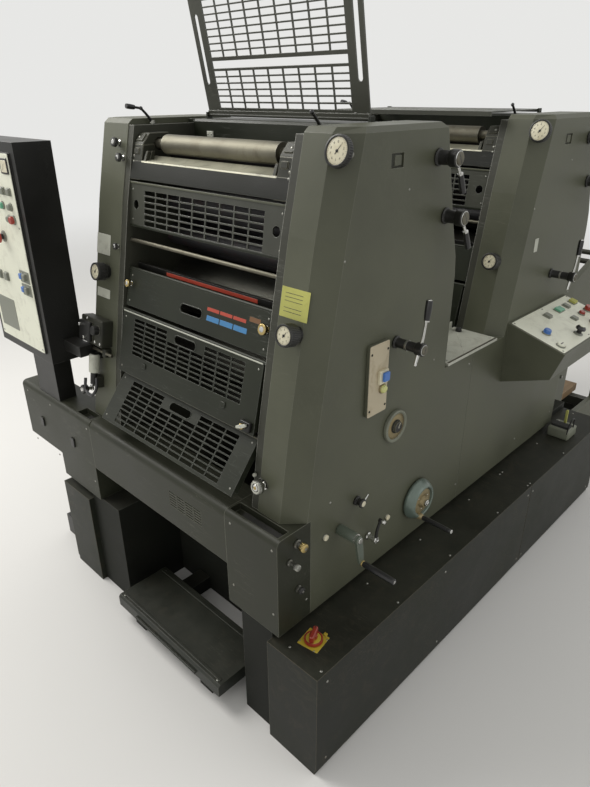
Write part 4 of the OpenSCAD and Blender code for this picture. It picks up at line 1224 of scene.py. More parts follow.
def dial(r, top, rib, marks, numbers):
    """Ribbed drum with an ivory face let into it, marks round the face, figures and a pointer."""
    face = r - 7.0
    foot = [
        [0, 0], [0, r - 8], [1, r - 7], [top * 0.3, r - 7], [top * 0.34, r - 5], [top * 0.36, 0]
    ]
    shell = [
        [top * 0.3, 0], [top * 0.3, r - 2.5], [top * 0.33, r - 0.6], [top - 5, r - 0.4],
        [top - 3, r - 1.2],
    ]
    bezel = [
        [top - 3.2, r - 5], [top - 3.2, r - 1.0], [top - 0.8, r - 1.4], [top, r - 3.0],
        [top, r - 5.4], [top - 1.6, r - 6.6], [top - 3.0, r - 6.8], [top - 3.2, r - 5],
    ]
    parts = [
        ("black enamel", lathe(foot, 48)),
        ("black enamel", lathe(shell, 120, 40, rib)),
        ("black enamel", lathe(bezel, 64)),
        ("ivory face", drum(face + 0.6, top - 4.2, top - 2.4, 0.3, 48)),
    ]
    for k in range(marks):
        inner, wide = (4.2, 0.28) if k % 5 == 0 else (2.6, 0.18)
        mark = block(face - inner, -wide, top - 2.5, face - 0.8, wide, top - 2.15, 0.1, 1)
        parts.append(("print ink and painted slot shade", turn(mark, 360.0 * k / marks)))
    for k in range(numbers):
        x, y, _ = ray(90 - 360 * k / numbers, face * 0.66)
        parts.append(("print ink and painted slot shade", digits(str(k), face * 0.26, x, y, top - 2.3)))
    pin = [(top - 2.5, 3.4), (top - 1.0, 3.2), (top - 0.6, 2.4)]
    hand = [[-0.9, -face * 0.3], [0.9, -face * 0.3], [0.35, face * 0.56], [-0.35, face * 0.56]]
    parts.append(("black enamel", turned(pin, 32)))
    parts.append(("black enamel", turn(prism(hand, top - 2.2, top - 1.5, 0.15), -35)))
    return parts


class PRESS_OT_dials(bpy.types.Operator):
    """White scale dials on the leaning front faces of both units"""
    bl_idname = "press.dials"
    bl_label = "Scale dials"

    def execute(self, context):
        p = context.scene.press_dials
        r, rib = mm(p.radius), mm(p.rib_depth)
        parts = []
        for unit in (0, 1):
            top = dial(r, 22, rib, p.marks, 10) + [("fastener steel", drum(10, -26, 3, 1.0))]
            parts += seated(on_front(*TOP_DIAL, unit), top)
            for y, h in FRONT_DIALS:
                parts += seated(on_front(y, h, unit), dial(r - 6, 46, rib, p.marks, 8))
        stand_in("scale_dials", parts)
        return {"FINISHED"}


def switch_plate():
    """Pale plate on a housing edge, with a blue key and a lamp in a brass ring."""
    lamp = [[16, 0], [16, 11.6], [20, 11.6], [24, 9], [26, 4], [26.2, 0]]
    bezel = [(11.6, 14), (15, 14), (17, 12.6)]
    return [
        ("housing enamel", prism(rounded(0, 0, 80, 199, 5), 0.2, 10.4, 0.8)),
        ("plate beige", prism(rounded(0.6, 0.6, 79.4, 198.4, 4.6), 9.6, 12, 0.6)),
        screws([(7, 18), (73, 18), (7, 176), (73, 176)], 3.6, 12, "bed iron"),
        ("ivory face", prism(rounded(36, 86, 72, 124, 3), 11.6, 20, 1.2)),
        ("button blue", prism(rounded(45.5, 93.5, 68.5, 118.5, 2.5), 19.4, 28, 1.8)),
    ] + shifted([("dull brass", turned(bezel)), ("lamp glass", lathe(lamp))], 56, 70)


def ring_dial(rib):
    """Cast ring round a brass face with marks, a knob and its pointer."""
    cast = [
        [0.2, 39], [0.2, 47], [1.6, 48], [9.5, 48], [11.6, 46.2], [12, 43.6], [11.4, 40.6],
        [10, 39], [0.2, 39],
    ]
    knob = [[10.6, 0], [10.6, 16.4], [12, 17], [16.8, 16.6], [17.8, 15.4]]
    mark = block(33.2, -0.25, 7.0, 36.8, 0.25, 7.5, 0.1, 1)
    return [
        ("pedal cast", lathe(cast, 72)),
        ("dull brass", turned([(0.2, 39.4), (6.8, 39.4), (7.2, 38.8)], 72)),
        ("bed iron", turned([(7, 19.8), (8.4, 20.6), (10.5, 20), (11, 18.8)], 72)),
        ("cheek iron", lathe(knob, 120, 30, rib)),
        ("black enamel", turned([(17.4, 14.8), (18, 14.2)], 48)),
        ("ivory face", turn(block(4, -1.0, 17.6, 13, 1.0, 18.4, 0.3), 62)),
        ("fastener steel", screw_head(3.6, 18)),
    ] + [("print ink and painted slot shade", turn(mark, 9 * k)) for k in range(40)]


def ribbed_knob(rib):
    """Round black knob with an ivory end and a bent chrome finger."""
    foot = [[0.2, 0], [0.2, 13.5], [2, 14], [5, 14], [7, 10], [18, 9.5]]
    head = [(18, 12.6), (19, 13.4), (24, 13.4), (26, 12)]
    return [
        ("black enamel", lathe(foot)),
        ("black enamel", turned(head, 96, 24, rib)),
        ("ivory face", drum(8.4, 25.4, 27, 0.4)),
        ("chrome", tube([[0, 0, 22], [16, 12, 22], [24, 18, 22]], [2.6, 2.2, 1.8], 12)),
    ]


def plug():
    """Ivory plug in a steel collar."""
    return [
        ("fastener steel", turned([(0.1, 10), (2, 10), (3, 9.4)])),
        ("ivory face", lathe([[2.6, 0], [2.6, 8.8], [6.6, 8.4], [7.8, 6.6], [8, 0]])),
    ]


def side_knob(r, top, head, rib):
    """Ribbed knob on a steel stem."""
    stem = [[0.2, 0], [0.2, r - 1], [1.4, r], [4, r], [5, r - 3.5], [top * 0.5, r - 3.8]]
    grip = [(top * 0.5, r - 1.4), (top * 0.55, r), (top - 3, r), (top - 1, r - 1.2), (top, r - 3)]
    return [
        ("fastener steel", lathe(stem)),
        (head, turned(grip, 96, 20, rib * 0.8)),
        ("fastener steel", drum(r * 0.35, top - 0.5, top + 1.2, 0.5)),
    ]


class PRESS_OT_side_controls(bpy.types.Operator):
    """Switch plate, ring dial, plugs and knobs on the operator's side"""
    bl_idname = "press.side_controls"
    bl_label = "Side controls"

    def execute(self, context):
        rib = mm(context.scene.press_dials.rib_depth)
        parts = seated(on_side(*SWITCH_PLATE), switch_plate())
        parts += seated(on_side(*RING_DIAL), ring_dial(rib))
        parts += seated(on_side(*RIBBED_KNOB), ribbed_knob(rib))
        for place in PLUGS:
            parts += seated(on_side(*place), plug())
        sizes = ((12, 32, "worn brass"), (9, 36, "fastener steel"), (10, 20, "black enamel"))
        for place, (r, top, head) in zip(DELIVERY_KNOBS, sizes):
            parts += seated(on_side(*place), side_knob(r, top, head, rib))
        stand_in("side_controls", parts)
        return {"FINISHED"}


def thumb_screw(r, top, rib=1.0, head="black enamel"):
    """Knurled thumb screw: collar, stem, ribbed head and a domed chrome end."""
    stem = [(-2, r * 0.7), (2, r * 0.7), (3, r * 0.45), (top * 0.45, r * 0.42)]
    grip = [(top * 0.45, r - 1.2), (top * 0.5, r), (top * 0.86, r), (top * 0.92, r - 1.6)]
    end = [[top * 0.9, 0], [top * 0.9, r * 0.55], [top * 0.97, r * 0.45], [top, 0]]
    return [
        ("chrome", turned(stem, 32)), (head, turned(grip, 96, 24, rib)), ("chrome", lathe(end, 32))
    ]


def duct_body():
    """Beam, blade and, at each end, a cheek in two halves round the journal of the roller."""
    h = JOURNAL[1]
    a = np.linspace(0, math.pi, 22)
    arc = BEARING * np.stack([np.cos(a), -np.sin(a)], -1)
    seat = JOURNAL + arc
    cap = JOURNAL - arc
    low = np.concatenate([[[217.8, 1074], [332, 1074], [332, h]], seat, [[242.2, h]]])
    end = [[332, h], [332, 1196], [268, 1196], [243.3, 1170]]
    high = np.concatenate([[[242.2, h]], cap, end])
    beam = [
        [214, 1076], [229, 1120], [231, 1123], [262, 1125], [279, 1133], [284, 1133], [300, 1117],
        [330, 1117], [330, 1074],
    ]
    blade = [
        [229.4, 1120.6], [231, 1124.4], [262, 1126.4], [279, 1134.6], [284.6, 1134.6],
        [284, 1132.6], [279.4, 1132.4], [262.4, 1124.6], [231.8, 1122.6], [230.6, 1119.8],
    ]
    ledge = [[300, 1117], [300, 1119], [329, 1119], [329, 1117]]
    cheek = 46
    inner = BAY - cheek
    parts = [
        ("bed iron", prism(beam, -BAY, BAY, 0.8)),
        ("ink stained blade", prism(blade, -inner, inner, 0.3)),
        ("duct steel", prism(ledge, -inner, inner, 0.4)),
    ]
    for y in (-BAY, inner):
        parts += [("cheek iron", prism(half, y, y + cheek, 1.4)) for half in (low, high)]
    return parts


def wedge_lever(grip):
    """Short bent lever with a ball on its knee and, on one side, a grip that points forward."""
    knee = np.array([-34.8, 0.0, 42.6])
    arm = bend([[0, 0, 4], [-16.4, 0, 24.3], knee], 16)
    foot = [(0.2, 8), (4, 8), (5, 7), (9, 6.6), (10, 5)]
    side = (0, 1, 0)
    parts = [
        ("fastener steel", turned(foot, 32)),
        ("black enamel", tube(arm, 4.2 - 0.8 * np.linspace(0, 1, 16), 14, side)),
        ("grip plastic", move(ball(5.4), *knee)),
    ]
    if grip:
        d = np.array([-0.990, 0.0, 0.139])
        rod = knee + d * np.linspace(0, 26, 6)[:, None]
        hold = knee + d * np.linspace(22, 48, 12)[:, None]
        swell = 5.0 + 2.0 * np.sin(np.linspace(0.25, 1, 12) * np.pi * 0.72)
        parts += [
            ("black enamel", tube(rod, 3.4, 14, side)),
            ("grip plastic", tube(hold, swell, 20, side)),
        ]
    return parts


def ink_duct(unit):
    """One ink duct: its body, and on each side two clamps, wedges and a wedge lever."""
    x0 = unit * UNIT_PITCH
    parts = seated(across(unit), duct_body())
    for side in (-1, 1):
        slant = Seat(spot(234.3 + x0, side * CLAMP_Y, 1136), (0, -1, 0), (25.5, 0, 96))
        parts += seated(slant, [
            screws([(-side * 16, 0), (-side * 16, -15)], 3.4),
            ("cheek iron", prism(rounded(-14, 6, 8, 22, 3), -1, 3, 0.8)),
        ])
        corner = Seat(spot(255.6 + x0, side * CLAMP_Y, 1183), (0, -1, 0), (24.7, 0, 26))
        parts += seated(corner, [(
            "cheek iron", prism(rounded(-15, -12, 15, 13, 3), -1, 4, 1.0)
        ), screws([(-side * 6, 0)], 3.6, 4)])
        y = side * WEDGE_Y
        for a, b in ((232, 246), (246, 262)):
            wedge = [[a, 1122], [b, 1124], [b + 6, 1150], [a + 12, 1150]]
            parts += seated(across(unit), [("cheek iron", prism(wedge, y - 5, y + 5, 1.0))])
        base = on_top(JOURNAL[0] + 22 + x0, side * WEDGE_LEVER_Y, 1216)
        parts += seated(base, wedge_lever(side > 0))
    return parts


class PRESS_OT_ink_ducts(bpy.types.Operator):
    """Ink ducts: stained blade on a black beam, cheeks round the journals, clamps and levers"""
    bl_idname = "press.ink_ducts"
    bl_label = "Ink ducts"

    def execute(self, context):
        stand_in("ink_ducts", ink_duct(0) + ink_duct(1))
        return {"FINISHED"}


def key(x, y, w, h, cap, tall=7.0):
    """A square push key on its grey body."""
    w, h = w / 2, h / 2
    body = rounded(x - w, y - h, x + w, y + h, 2.5)
    top = rounded(x - w + 2, y - h + 2, x + w - 2, y + h - 2, 2.5)
    return [("button grey", prism(body, 1.0, 5.0, 0.8)), (cap, prism(top, 4.0, 4.0 + tall, 1.4))]


def round_button(x, y, r, cap, tall=9.0):
    """A round push button in a collar."""
    return shifted([
        ("button grey", turned([(1, r + 3), (3, r + 3), (6, r + 1)])),
        (cap, turned([(5, r), (4 + tall * 0.7, r), (4 + tall, r - 2)])),
    ], x, y)


def mushroom(x, y, r, cap, tall=26.0):
    """A mushroom head button on a stem."""
    head = [
        [tall * 0.55, 0], [tall * 0.55, r * 0.8], [tall * 0.62, r], [tall * 0.76, r * 0.98],
        [tall * 0.93, r * 0.7], [tall, r * 0.3], [tall * 1.01, 0],
    ]
    return shifted([
        ("button grey", turned([(1, r * 0.95), (4, r * 0.95), (7, r * 0.7)])),
        ("black enamel", turned([(6, r * 0.5), (tall * 0.6, r * 0.45)])),
        (cap, lathe(head, 48)),
    ], x, y)


class PRESS_OT_console(bpy.types.Operator):
    """Console: white panel with its rim, keys, buttons and corner screws"""
    bl_idname = "press.console"
    bl_label = "Operator's console"

    def execute(self, context):
        p = context.scene.press_panels
        k = mm(p.key_size)
        seat = Seat(spot(CONSOLE[0], SIDE_Y, CONSOLE[1]), (1, 0, 0), (0, 203, 60))
        places = [(15, -15), (435, -15), (15, -197), (435, -197), (225, -15), (225, -197)]
        parts = [
            ("housing enamel", prism(rounded(0.5, -211, 449.5, -0.5, 4), -3.0, 0.6, 0.4)),
            ("panel white", prism(rounded(7, -205, 443, -7, 5), -1.0, 2.0, 0.6)),
            screws(places, mm(p.screw_radius), 2.0),
        ]
        for x, y, w, h, cap, tall in (
            (194, -52, k + 4, k + 6, "button grey", 7),
            (278, -52, k, k + 6, "button green", 8),
            (302, -52, k, k + 6, "button green", 5),
            (351, -52, k, k + 6, "button grey", 6),
            (412, -50, k + 8, k + 6, "note paper", 9),
        ):
            parts += key(x, y, w, h, cap, tall)
        parts += round_button(69, -109, 13, "button blue", 14)
        parts += round_button(41, -176, 13, "panel white", 8)
        parts += shifted([("print ink and painted slot shade", block(-9, -1.5, 11.6, 9, 1.5, 12.8, 0.4))], 41, -176)
        parts += key(287, -114, k + 2, k + 2, "button grey", 6)
        parts += round_button(355, -112, 11, "switch red", 10)
        parts += round_button(412, -112, 15, "switch red", 16)
        parts += mushroom(189, -172, 17, "grip plastic", 34)
        parts += shifted([("panel white", drum(10, 33.5, 36.5, 1.0))], 189, -172)
        parts += mushroom(340, -168, 19, "switch red", 26)
        parts += round_button(405, -170, 12, "button green", 9)
        piece("console_panel", seated(seat, parts), BODY)
        return {"FINISHED"}


class PRESS_OT_cabinet(bpy.types.Operator):
    """Control cabinet: white front panel, keys, lamps, meter and closing screws"""
    bl_idname = "press.cabinet"
    bl_label = "Control cabinet"

    def execute(self, context):
        screw = mm(context.scene.press_panels.screw_radius)
        hand = turn(block(0, -0.5, 5.2, 22, 0.5, 5.8, 0.2), 60)
        parts = [
            ("panel white", prism(rounded(-158, 32, 158, 653, 6), -1.0, 1.6, 0.5)),
            screws(grid((-148, 148), (44, 240, 440, 641)), screw, 1.6),
            ("black enamel", prism(rounded(104, 596, 152, 640, 3), 1.2, 5.0, 0.8)),
            ("ivory face", prism(rounded(109, 601, 147, 635, 2), 4.4, 5.4, 0.3)),
            ("print ink and painted slot shade", move(hand, 120, 606)),
            ("black enamel", prism(rounded(-140, 560, -20, 640, 4), 1.2, 4.0, 0.8)),
            ("ivory face", prism(rounded(-132, 568, -28, 632, 3), 3.6, 4.6, 0.3)),
        ]
        for x in range(127, -132, -43):
            parts += key(x, 545, 24, 24, "button grey", 7)
        caps = ("button grey", "button green", "button grey", "button grey", "button green")
        for x, cap in zip(range(118, -107, -56), caps):
            parts += round_button(x, 500, 10, cap, 9)
        parts += round_button(122, 462, 12, "switch red", 12)
        parts += round_button(92, 462, 10, "button grey", 8)
        parts += mushroom(22, 400, 19, "switch red", 30)
        for x in (-60, -110):
            parts += round_button(x, 440, 11, "lamp glass", 8)
        for y in (285, 242):
            parts.append(("button grey", prism(rounded(86, y - 20, 150, y + 18, 2), 1.2, 3.2, 0.4)))
            parts += key(128, y, 22, 26, "button grey", 10)
            parts += key(102, y, 20, 22, "button blue", 8)
        for x in (-120, -70, -20):
            parts += key(x, 262, 26, 30, "button grey", 6)
        parts.append(("button grey", prism(rounded(-140, 70, -10, 180, 4), 1.2, 2.6, 0.5)))
        piece("cabinet_panel", seated(facing_delivery(*CABINET), parts), BODY)
        return {"FINISHED"}


def bead(y):
    """Rolled rim round a hand hole at height y on a guard: a small torus drawn along a slot's
    outline."""
    a = np.linspace(0, 2 * np.pi, 72, endpoint=False)
    away = np.stack([np.cos(a), np.sin(a)], -1)
    line = np.stack([np.sign(np.cos(a)) * 36 + 13 * np.cos(a), y + 13 * np.sin(a)], -1)
    b = np.linspace(0, 2 * np.pi, 9)[:, None, None]
    flat = line[None] + away[None] * 1.7 * np.cos(b)
    return skin(np.concatenate([flat, np.broadcast_to(3.8 + 1.7 * np.sin(b), (9, 72, 1))], -1))


def strips(x0, x1, y, height, gap):
    """Three lengths of tape in a row from x0 to x1."""
    step = (x1 - x0) / 3
    one = prism(rounded(0, -height / 2, step - gap, height / 2, 0.8), 3.9, 4.4, 0.1)
    return scatter(one, [(x0 + step * k, y) for k in range(3)])


def guard_screws(*rows):
    """Screws at both ends of a guard, in each row."""
    return screws(grid(GUARD_SCREWS, rows), 3, 4)


def guard_knob(x, y, r, top):
    """Brass headed thumb screw on a guard."""
    return shifted(thumb_screw(r, top, 0.8, "worn brass"), x, y, 4)


def bars_and_flanges(unit):
    """Grille flanges, the bars behind the guards with their tapes, a latch, and thumb screws."""
    parts = seated(slope(*GRILLE_LINE, unit), [
        ("housing enamel", block(-318, -6, 2, 318, 0, 7, 1.2)),
        ("guard enamel", block(-318, -127, 2, 318, -120, 6, 1.2)),
        screws(grid((-308, 308), (-22, -106)), 3, 4),
    ])
    parts += seated(across(unit), [
        ("ground steel", move(drum(5.6, -318, 318, 0.6, 24), 197, 903)),
        ("black enamel", prism(box(210, 811, 220, 831), -BAY, BAY, 0.8)),
        ("tape red", prism(box(208.4, 816, 210.4, 826), -170, 220, 0.4)),
        ("black enamel", prism(box(214, 786, 224, 806), -BAY, BAY, 0.8)),
        ("rust brown", prism(box(212.4, 793, 214.4, 802), -225, 180, 0.4)),
    ])
    parts += seated(
        facing_delivery(460 + unit * UNIT_PITCH, 240, 1186),
        [
            ("pale enamel", prism(rounded(-14, -8, 14, 8, 2), -0.5, 4, 0.8)),
            screws([(-8, 0), (8, 0)], 2.4, 4),
        ],
    )
    for y, h, r, top in ((383, 1166, 13, 26), (357, 1127, 12, 24), (354, 880, 10, 18)):
        parts += seated(on_front(y, h, unit), thumb_screw(r, top))
    return parts


def clamp_knob():
    """Knurled knob with a pale ring and a curved grip, low on the operator's side."""
    handle = bend([[-13, 8, 2], [-15, 8, 16], [-21, -2, 20], [-24, -16, 17], [-24, -22, 13]], 22)
    return thumb_screw(19, 34, 1.2, "fastener steel") + [
        ("pale enamel", ring(13.5, 1.8, 31.4)),
        ("black enamel", drum(11.5, 28, 32, 0.8)),
        ("worn brass", drum(4.5, 31, 34.5, 0.8)),
        ("fastener steel", move(drum(6.5, -1, 3, 0.8), -13, 8)),
        ("grip plastic", tube(handle, 3.4 + 1.2 * np.linspace(0, 1, 22), 16, (1, 0, 0))),
        ("pale enamel", move(drum(5.5, -0.5, 7, 1.4), -34, 14)),
    ]


def drive_fittings():
    """Blocks, knob, rod, pale cylinder and bent grip in front of the drive side housing."""
    grip = [[24, -158, 26], [30, -196, 30], [8, -222, 34], [-32, -214, 32], [-46, -178, 26]]
    return [
        ("cheek iron", block(-56, -46, -2, 70, 40, 40, 5)),
        ("black enamel", block(-48, -38, 38, 16, 26, 52, 4)),
        ("black enamel", move(drum(15, 36, 60, 2.5, 60, 20, 1.2), 46, 8)),
        screws([(-20, 33), (60, -34), (30, -34)], 4.5, 40, "chrome"),
        ("chrome", scatter(drum(5, 50, 62, 1.5), [(-34, 12), (-4, -24)])),
        ("ground steel", lying(drum(5.5, -70, 96, 1.5, 24), 1, 0, -66, 16)),
        ("cheek iron", block(-50, -80, -2, -30, -52, 22, 3)),
        ("cheek iron", block(46, -80, -2, 66, -52, 22, 3)),
        ("pale enamel", lying(drum(17, -40, 22, 4, 40), 0, 4, -122, 24)),
        ("black enamel", block(-8, -96, -2, 16, -80, 34, 3)),
        ("black enamel", lying(drum(11, -32, 10, 2, 40), 0, 4, -174, 24)),
        ("grip plastic", tube(bend(grip, 30), 5.0, 16)),
        ("cheek iron", block(-14, -196, -10, 20, -158, 20, 3)),
    ]


class PRESS_OT_guard_details(bpy.types.Operator):
    """Guards: hand hole rims, tapes, screws and knobs, the bars behind them, and front knobs"""
    bl_idname = "press.guard_details"
    bl_label = "Guard details"

    def execute(self, context):
        plate = [
            ("guard enamel", bead(-65)),
            ("tape red", strips(67, 225, -44, 9, 4)),
            ("tape blue", strips(69, 233, -68, 14, 4)),
            ("rust brown", prism(rounded(232, -40, 272, -28, 1.5), 3.9, 4.5, 0.2)),
            guard_screws(-20, -96),
        ]
        plate += guard_knob(298, -46, 14, 22) + guard_knob(-298, -46, 11, 20)
        tab = prism(rounded(-9, -6, 9, 10, 3), 3.4, 7.5, 0.9)
        wing = [[-19, -3], [-6, -5], [6, -5], [19, -3], [19, 3], [6, 5], [-6, 5], [-19, 3]]
        wing = turn(prism(wing, 0, 6, 1.2), 24)
        blanket = [
            ("guard enamel", bead(-30)),
            # pale strip along the guard's top edge: a painted highlight
            ("pale enamel", block(-311, -5, 3.4, 311, -1, 5.6, 0.8)),
            ("guard enamel", scatter(tab, [(-181, -150), (187, -150)])),
            ("black enamel", block(268, -186, 3, 306, -160, 15, 3)),
            ("pale enamel", move(wing, 284, -173, 19)),
            guard_screws(-20, -176),
        ]
        blanket += guard_knob(284, -173, 8, 22)
        delivery = [
            ("guard enamel", bead(-31)),
            ("ground steel", block(-311, -5, 3.4, 311, -1, 5.2, 0.8)),
            guard_screws(-18, -148),
        ]
        for name, line, parts in (
            ("plate_guard", PLATE_LINE, plate),
            ("blanket_guard", BLANKET_LINE, blanket),
            ("delivery_guard", DELIVERY_LINE, delivery),
        ):
            piece(f"{name}_detail", seated(slope(*line), parts), name)
        parts = bars_and_flanges(0) + bars_and_flanges(1)
        piece("grille_flanges", parts, BODY)
        parts = seated(on_front(*CLAMP_KNOB), clamp_knob())
        parts += seated(on_front(*DRIVE_FITTINGS), drive_fittings())
        parts += seated(on_front(*DRIVE_KNOB), thumb_screw(15, 40, 1.2))
        piece("front_knobs", parts, BODY)
        return {"FINISHED"}


def label(finish, w, h, r=2.0, top=1.0):
    """Blank plate of half width w and half height h."""
    return [(finish, prism(rounded(-w, -h, w, h, r), -0.2, top, 0.3))]


class PRESS_OT_plates(bpy.types.Operator):
    """Note with plain strokes, blank plates, window inserts, and screws of housings and plinth"""
    bl_idname = "press.plates"
    bl_label = "Plates and screws"

    def execute(self, context):
        stroke = block(-28, -0.6, 0.5, 28, 0.6, 0.8, 0.1, 1)
        parts = seated(on_front(*NOTE), [
            ("note paper", prism(rounded(-44.5, -35, 44.5, 35, 1.5), -0.2, 0.6, 0.2)),
            ("print ink and painted slot shade", scatter(stroke, grid((-4,), (22, 13, 4, -12, -21)))),
        ])
        parts += seated(on_front(*UPPER_LABEL), label("pale enamel", 38, 31))
        parts += seated(on_front(*LOWER_LABEL), label("pale enamel", 37, 14))
        parts += seated(on_side(*SIDE_LABEL, 1), label("pale enamel", 12, 22, 1.5, 0.9))
        for unit in (0, 1):
            parts += seated(on_side(*WINDOW, unit), [
                # the deeper window frame takes the darker cover enamel, whose darkness is painted
                # shade
                ("cover enamel with painted shade", prism(rounded(1, 1, 47, 31, 1), -6.2, -4.6, 0.3)),
                ("housing enamel", prism(rounded(18, 5, 42, 27, 1), -4.8, -2.4, 0.5)),
            ])
            heads = [(470, 1090), (655, 600), (240, 960)]
            parts += seated(on_side(0, 0, unit), [screws(heads, 3.2)])
        piece("blank_plates", parts, BODY)
        heads = [(120, 60), (700, 60), (880, 60), (1320, 60), (1640, 60), (210, 330), (870, 520)]
        parts = seated(on_side(0, 0), [screws(heads)])
        heads = grid((30, 360, 640, 950, 1180, 1200, 1500, 1870), (-612, -500))
        parts += seated(on_top(0, 0, PLINTH_TOP), [screws(heads)])
        heads = grid((40, 600, 1170, 1210, 1860), (40, 340))
        parts += seated(upright(0, PLINTH_Y, -LOWER_EDGE), [screws(heads)])
        piece("housing_screws", parts, BODY)
        return {"FINISHED"}


class PRESS_OT_delivery(bpy.types.Operator):
    """Delivery: tray mats, screws and catches of the boxes, cover trim, board cleats"""
    bl_idname = "press.delivery"
    bl_label = "Delivery details"

    def execute(self, context):
        rib = block(-1.2, -70, 2.0, 1.2, 70, 3.2, 0.5, 1)
        parts = seated(on_top(0, 0, BOX_TOP), [
            ("rubber mat", prism(rounded(30, -454, 65, -308, 3), 0.1, 2.2, 0.4)),
            ("rubber mat", prism(rounded(30, 444, 65, 494, 3), 0.1, 2.2, 0.4)),
            ("rubber mat", scatter(rib, grid(np.linspace(35, 61, 6), (-381,)))),
        ])
        catch = prism(rounded(-11, -18, 11, 18, 4), 0.1, 5.0, 1.2)
        parts += seated(facing_delivery(DELIVERY_X, 0, 0), [
            screws(grid((-880, -700, -440, 300, 458), (70, 280)), 3.6),
            ("black enamel", scatter(catch, [(-790, 180), (-560, 180)])),
        ])
        # the cross cover's trim in the darker cover enamel, whose darkness is painted shade
        cover = prism(rounded(2, -276, 118, 421, 2), -3, -0.1, 0.4)
        parts += seated(on_top(DELIVERY_X, 0, CROSS_COVER_TOP), [("cover enamel with painted shade", cover)])
        piece("delivery_trim", parts, BODY)
        cleat = block(-5, -264, 0.1, 5, 264, 2.2, 0.8, 1)
        parts = seated(on_top(BOARD_X, 0, BOARD_TOP), [
            ("board paint", scatter(cleat, [(20, 0), (182, 0)])),
            screws(grid((14, 186), (-255, 255)), 4, 0.2),
        ])
        piece("delivery_board_cleats", parts, BODY)
        return {"FINISHED"}


class PRESS_OT_saddle(bpy.types.Operator):
    """Saddle tray: rubbed lip, slanting seam, ridge, knob and screws"""
    bl_idname = "press.saddle"
    bl_label = "Saddle tray details"

    def execute(self, context):
        seam = turn(block(-88, -1.3, -0.2, 88, 1.3, 1.2, 0.5), 38)
        knob = turned([(0, 10), (3, 11), (10, 9.6), (14, 7)], 40, 10, 1.2)
        parts = seated(on_top(SADDLE[0], 0, SADDLE[1]), [
            ("ground steel", block(4, -475.4, -0.4, 296, -469, 1.6, 0.8)),
            ("pale enamel", move(seam, 180, -410)),
            ("pale enamel", block(10, -330, -0.2, 270, -326, 1.8, 0.7)),
            ("black enamel", move(knob, 270, -348)),
            screws([(20, -345), (20, -458), (284, -458)], 3.4),
        ])
        piece("saddle_tray_trim", parts, BODY)
        return {"FINISHED"}


class PRESS_OT_pedal(bpy.types.Operator):
    """Foot switch: cast body, ribbed tread, bent strap and tag"""
    bl_idname = "press.pedal"
    bl_label = "Foot switch"

    def execute(self, context):
        strap = bend([[58, 6, 40], [50, 4, 84], [22, 4, 92], [4, 6, 60], [2, 8, 30]], 30)
        rib = block(-16, -1.4, 56, 16, 1.4, 58.4, 0.8, 1)
        tag = prism(rounded(-4, 0, 4, 62, 2), -5, 5, 1.4)
        parts = [
            ("pedal cast", block(0, 0, 0.2, 90, 90, 44, 7, 4)),
            ("pedal cast", prism(rounded(6, 6, 84, 84, 8), 40, 47, 3)),
            ("rubber mat", prism(rounded(10, 8, 50, 82, 5), 45, 57, 2.5)),
            ("rubber mat", scatter(rib, grid((30,), range(20, 69, 12)))),
            ("black enamel", tube(strap, 3.0, 12, (0, 1, 0))),
            ("note paper", lying(tag, 0, 66, 44, 46)),
            screws([(72, 16), (72, 74)], 4, 47),
        ]
        stand_in("foot_pedal", seated(on_top(*PEDAL, PLINTH_TOP), parts))
        return {"FINISHED"}


def drive_cover(unit):
    """Two proud panels of one drive housing: the upper with a turn latch, the lower with vents."""
    outline = [[-640, 620], [-640, 980], [-600, 1120], [-330, 1120], [-250, 880], [-240, 620]]
    left = -650 if unit else -690
    vent = prism(rounded(-60, -3, 60, 3, 2.8), 2.6, 4.2, 0.6)
    return [
        ("housing enamel", prism(outline, -0.5, 3, 1.0)),
        screws([(-620, 640), (-260, 640), (-590, 1100), (-345, 1100)], 4, 3),
        ("black enamel", move(drum(12, 2.6, 10, 2.0), -440, 660)),
        ("chrome", move(turn(block(-8, -1.4, 9.6, 8, 1.4, 12, 0.6), 30), -440, 660)),
        ("housing enamel", prism(rounded(left, 40, -170, 500, 14), -0.5, 3, 1.0)),
        ("black enamel", scatter(vent, grid((-420,), range(90, 189, 14)))),
        screws([(-630, 60), (-190, 60), (-630, 480), (-190, 480)], 4, 3),
    ]


class PRESS_OT_drive_side(bpy.types.Operator):
    """Drive side: proud cover panels with turn latches, vents and screws"""
    bl_idname = "press.drive_side"
    bl_label = "Drive side covers"

    def execute(self, context):
        parts = []
        for unit in (0, 1):
            seat = upright(unit * UNIT_PITCH, DRIVE_Y, 0, -1)
            parts += seated(seat, drive_cover(unit))
        piece("drive_covers", parts, BODY)
        return {"FINISHED"}


